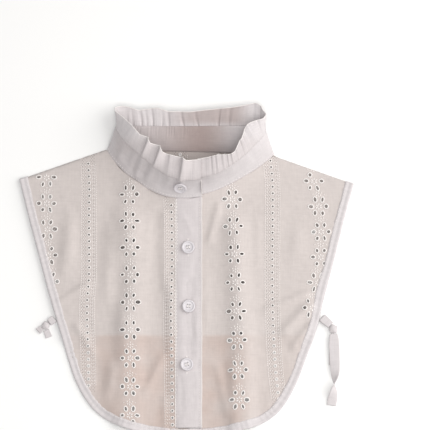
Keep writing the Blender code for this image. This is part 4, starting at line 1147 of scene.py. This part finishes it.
button = {
    "radius": 6.35, "steps": 48, "holes": 4, "holeAt": 1.62, "holeRadius": 0.72, "holeSides": 14, "sharp": 40,
    "places": ((-0.9, -94.0), (-0.4, -151.7), (-2.0, -208.0)), "spins": (0.15, -0.1, 0.3), "above": 3.1, "gap": 0.5,
    "collar": (0.929, 0.53), "collarGap": 1.1, "collarSpin": 0.2,
    "yarnAt": (-0.42, -0.14, 0.14, 0.42), "yarnSide": 1.15, "yarnHigh": 1.58, "yarn": (1.75, 0.2, 0.36),
}
buttonProfile = (
    (0.0, 0.0), (4.9, 0.0), (5.7, 0.22), (6.15, 0.62), (6.34, 1.1), (6.28, 1.62), (6.0, 2.06), (5.5, 2.28),
    (5.0, 2.2), (4.62, 1.92), (4.3, 1.62), (3.8, 1.48), (2.4, 1.42), (0.0, 1.42),
)


def buttonMesh():
    bm = bmesh.new()
    verts = [bm.verts.new((r, 0, z)) for r, z in buttonProfile]
    edges = [bm.edges.new(pair) for pair in zip(verts, verts[1:])]
    bmesh.ops.spin(bm, geom=verts + edges, cent=(0, 0, 0), axis=(0, 0, 1), angle=2 * math.pi, steps=button["steps"],
                   use_merge=True)
    bmesh.ops.remove_doubles(bm, verts=bm.verts, dist=1e-4)
    bmesh.ops.recalc_face_normals(bm, faces=bm.faces)
    cutter = bmesh.new()
    for k in range(button["holes"]):
        angle = math.radians(45 + 360 / button["holes"] * k)
        place = Matrix.Translation((button["holeAt"] * math.cos(angle), button["holeAt"] * math.sin(angle), 1.0))
        bmesh.ops.create_cone(cutter, cap_ends=True, segments=button["holeSides"], radius1=button["holeRadius"],
                              radius2=button["holeRadius"], depth=4.0, matrix=place)
    helpers = []
    for name, form in (("solid", bm), ("drill", cutter)):
        mesh = bpy.data.meshes.new(name)
        form.to_mesh(mesh)
        form.free()
        helpers.append(bpy.data.objects.new(name, mesh))
        scene.collection.objects.link(helpers[-1])
    solid, drill = helpers
    cut = solid.modifiers.new("cut", "BOOLEAN")
    cut.object, cut.operation, cut.solver = drill, "DIFFERENCE", "EXACT"
    made = bpy.data.meshes.new_from_object(solid.evaluated_get(bpy.context.evaluated_depsgraph_get()))
    for helper in helpers:
        bpy.data.objects.remove(helper)
    return made


def placeButton(number, foot, normal, spin):
    turn = Vector((0, 0, 1)).rotation_difference(Vector(normal)).to_matrix().to_4x4() @ Matrix.Rotation(spin, 4, "Z")
    place = Matrix.Translation(Vector(foot)) @ turn
    mesh = buttonMaster.copy()
    mesh.transform(Matrix.Scale(mm, 4) @ place)
    piece = placePiece(f"button{number}", mesh, buttonResin, "button_resin", f"button_{number}")
    piece.data.set_sharp_from_angle(angle=math.radians(button["sharp"]))
    across = [side * button["yarnSide"] + offset for side in (-1, 1) for offset in button["yarnAt"]]
    stitched(f"button{number}Thread", [
        place @ framed((x, 0, button["yarnHigh"]), (0, 1, 0), (0, 0, 1), button["yarn"]) for x in across])


buttonMaster = buttonMesh()
share, height = button["collar"]
collarAt, collarUp = np.array([share * ringEnd]), np.array([height])
collarOut = surfaceNormal(bandPoint, collarAt, collarUp)[0]
placeButton(1, bandPoint(collarAt, collarUp)[0] + collarOut * button["collarGap"], collarOut, button["collarSpin"])
for number, ((x, y), spin) in enumerate(zip(button["places"], button["spins"]), 2):
    reach = button["radius"] * 0.8
    east, west, north, south = (float(frontFloor(x + dx * reach, y + dy * reach, False))
                                for dx, dy in ((1, 0), (-1, 0), (0, 1), (0, -1)))
    normal = Vector(((west - east) / (2 * reach), (south - north) / (2 * reach), 1.0)).normalized()
    foot = Vector((x, y, float(frontFloor(x, y, False)) + button["above"])) + normal * button["gap"]
    placeButton(number, foot, normal, spin)

# buttonholes: worked slots, mostly under the buttons
slit = {"half": 0.55, "start": -7.9, "pitch": 0.93, "count": 18, "end": 8.3, "across": (-0.75, -0.25, 0.25, 0.75)}
slots = []
for x, y in button["places"]:
    for side in (-slit["half"], slit["half"]):
        for k in range(slit["count"]):
            sy = y + slit["start"] + k * slit["pitch"]
            spot = (x + side, sy, float(placketTop(x + side, sy)[0]) + 0.06)
            slots.append(framed(spot, (1, 0, 0), (0, 0, 1), (0.5, 0.42, 0.22)))
    for end in (-slit["end"], slit["end"]):
        high = float(placketTop(x, y + end)[0]) + 0.08
        slots += [framed((x + off, y + end, high), (0, 1, 0), (0, 0, 1), (0.5, 0.28, 0.25)) for off in slit["across"]]
buttonholes = stitched("buttonholes", slots)

# side ties: folded ribbons, each row is x, y, z, width and turn about its length
tieRows = {
    "tie_left_front": ((128.5, -161.8, 3, 7.5, 0), (132.3, -165.3, 3, 7.5, 0), (136.7, -169.3, 2.9, 6.5, 0)),
    "tie_left_back": ((127.5, -162.2, 0.8, 7, 0), (132, -165.8, 0.8, 7, 0), (136.4, -169.5, 0.8, 6, 0)),
    "tie_left_tail_over": (
        (139.6, -177.8, 2.9, 7, 0), (139.8, -186, 2.9, 9.5, 0), (140.2, -200, 3, 9.5, 4), (140.6, -213, 3.6, 9, 14),
        (140.4, -221, 4.6, 8, 45), (139.8, -227, 4.8, 7.6, 90), (139.2, -233, 4.2, 8, 135),
        (138.2, -240, 1.6, 9, 172), (137, -247, 0.7, 9, 180)),
    "tie_left_tail_under": ((139.6, -177.6, 0.8, 6, 0), (139.4, -190, 0.7, 8, 0), (138.6, -208, 0.7, 8, 0)),
    "tie_right_front": ((-129.9, -163, 3, 7, 0), (-132.2, -164.8, 3, 7, 0), (-134.8, -166.8, 2.9, 6, 0)),
    "tie_right_back": ((-129.5, -163, 0.8, 6.5, 0), (-132.1, -165.1, 0.8, 6.5, 0), (-134.9, -167.3, 0.8, 5.5, 0)),
    "tie_right_tail_over": ((-141.7, -171.9, 1.8, 5.5, 0), (-143.3, -173.3, 1.5, 6, 5), (-145.6, -175.2, 1.2, 6.5, 0)),
    "tie_right_tail_under": ((-137.6, -174, 0.8, 5.5, 0), (-136.2, -177.4, 0.7, 6, 0), (-134.9, -181, 0.7, 6.5, 0)),
}
ribbon = {"step": 0.8, "around": 20, "wall": 0.81, "flatness": (0.35, 0.6), "near": 0.05, "ridges": (0.12, 0.10)}
# each knot: x, y, long, wide, high
knotRows = {"tie_left_knot": (139.4, -173.0, 9.0, 8.6, 5.0), "tie_right_knot": (-138.0, -169.6, 8.0, 7.6, 4.6)}
knot = {"foot": 0.72, "swell": 0.07, "groove": 0.13, "grooveWide": 0.16, "drawnIn": 0.97, "lifted": 0.07, "least": 0.05}


def ribbonPiece(rows):
    rows = np.array(rows)
    length = runOf(rows[:, :3])[-1]
    last = len(rows) - 1

    def place(u, v):
        spot, shape = alongCurve(rows[:, :3], u * last), alongCurve(rows[:, 3:], u * last)
        after, before = (alongCurve(rows[:, :3], np.clip(u * last + off, 0.0, last))
                         for off in (ribbon["near"], -ribbon["near"]))
        ahead = unit(after - before)
        side = unit(np.cross((0, 0, 1), ahead))
        up = np.cross(ahead, side)
        turn = np.radians(shape[:, 1:2])
        across, face = side * np.cos(turn) + up * np.sin(turn), up * np.cos(turn) - side * np.sin(turn)
        flat, thick = (np.sign(wave) * np.abs(wave) ** power for wave, power in zip(
            (np.cos(v * 2 * math.pi), np.sin(v * 2 * math.pi)), ribbon["flatness"]))
        straight, slanted = ribbon["ridges"]
        ridge = straight * np.cos(flat * 2 * math.pi) + slanted * np.sin(u * length * 0.9 + flat * 2)
        high = thick * ribbon["wall"] / 2 + ridge * np.abs(thick) * 0.5
        return spot + across * (flat * shape[:, 0] / 2)[:, None] + face * high[:, None]

    long = max(6, int(length / ribbon["step"]))
    return gridCloth(long, ribbon["around"], place, (length, 2 * rows[:, 3].max()), closed=True)


def knotPiece(x, y, long, wide, high):  # a ribbon wrapped round itself
    bm = bmesh.new()
    cutMap = bm.loops.layers.uv.new("cut")
    bmesh.ops.create_icosphere(bm, subdivisions=4, radius=1.0)
    for face in bm.faces:
        for loop in face.loops:
            loop[cutMap].uv = (loop.vert.co.x * wide * mm / 2, loop.vert.co.y * long * mm / 2)
    for vert in bm.verts:
        a, b, c = vert.co
        groove = knot["groove"] * math.exp(-((a - 0.55 * b - 0.1) / knot["grooveWide"]) ** 2)
        wrap = 1.0 + knot["swell"] * math.sin(5.0 * (a + 0.6 * b) + 2.0 * c) - groove
        rise = (max(c, -knot["foot"]) + knot["foot"]) / (1 + knot["foot"])
        rise *= high * mix(1.0, wrap, knot["lifted"])
        vert.co = (x + a * wide / 2 * wrap * knot["drawnIn"], y + b * long / 2 * wrap * knot["drawnIn"],
                   max(knot["least"], rise))
    return bm


for node, rows in (tieRows | knotRows).items():
    bm = knotPiece(*rows) if node in knotRows else ribbonPiece(rows)
    piece = finishPiece(camelName(node), bm, plainCloth, "plain_cotton", node)
    pointValues(piece.data, "tone", 0.0)

# each panel's size, and what it rests on; nothing further uses them

print("collar: cloth, floor, light and camera")


for part, restsOn in (("back", ["floor"]), ("right", ["backPanel"]), ("left", ["backPanel"])):
    size = (np.ptp(panels[part]["outline"], axis=0)) * mm

table = {"half": 3.0, "under": -0.0002, "colour": (0.95, 0.95, 0.95), "feel": {"Roughness": 0.9}}
floorBm = bmesh.new()
bmesh.ops.create_grid(floorBm, x_segments=1, y_segments=1, size=table["half"])
bmesh.ops.translate(floorBm, vec=(0, 0, table["under"]), verts=floorBm.verts)
floorMesh = bpy.data.meshes.new("floor")
floorBm.to_mesh(floorMesh)
floorBm.free()
floor = bpy.data.objects.new("floor", floorMesh)
scene.collection.objects.link(floor)
paper, _, paperShader = newMaterial("paleTable", table["feel"])
paperShader.inputs["Base Color"].default_value = rgb(table["colour"])
floorMesh.materials.append(paper)

# a big soft window on the right, and a weaker one above
light = {
    "sky": 0.38, "colour": (1.0, 0.985, 0.96), "aim": (0.02, -0.1, 0.0),
    "windows": (("window", 21.5, (1.25, 0.1, 0.95), 1.7), ("topWindow", 11.5, (0.0, -0.5, 1.6), 0.9)),
}
world = bpy.data.worlds.new("studio")
world.use_nodes = True
sky = world.node_tree.nodes["Background"]
sky.inputs["Color"].default_value = (1.0, 1.0, 1.0, 1.0)
sky.inputs["Strength"].default_value = light["sky"]
scene.world = world
for name, energy, spot, size in light["windows"]:
    lamp = bpy.data.lights.new(name, "AREA")
    lamp.energy, lamp.size, lamp.color = energy, size, light["colour"]
    window = bpy.data.objects.new(name, lamp)
    window.location = spot
    window.rotation_euler = (Vector(light["aim"]) - Vector(spot)).to_track_quat("-Z", "Y").to_euler()
    scene.collection.objects.link(window)
scene.view_settings.view_transform = "Standard"

shot = {"aim": (25.2, -61.1, 0.0), "elevation": 80.0, "distance": 3500.0, "wide": 417.1, "sensor": 36.0}
tilt = math.radians(shot["elevation"])
camera = bpy.data.cameras.new("camera")
camera.sensor_width = shot["sensor"]
camera.lens = shot["sensor"] * shot["distance"] / shot["wide"]
camera.clip_start, camera.clip_end = 0.1, 20.0
eye = bpy.data.objects.new("camera", camera)
aim = Vector(shot["aim"]) * mm
eye.location = aim + Vector((0, -math.cos(tilt), math.sin(tilt))) * shot["distance"] * mm
eye.rotation_euler = (aim - eye.location).to_track_quat("-Z", "Y").to_euler()
scene.collection.objects.link(eye)
scene.camera = eye
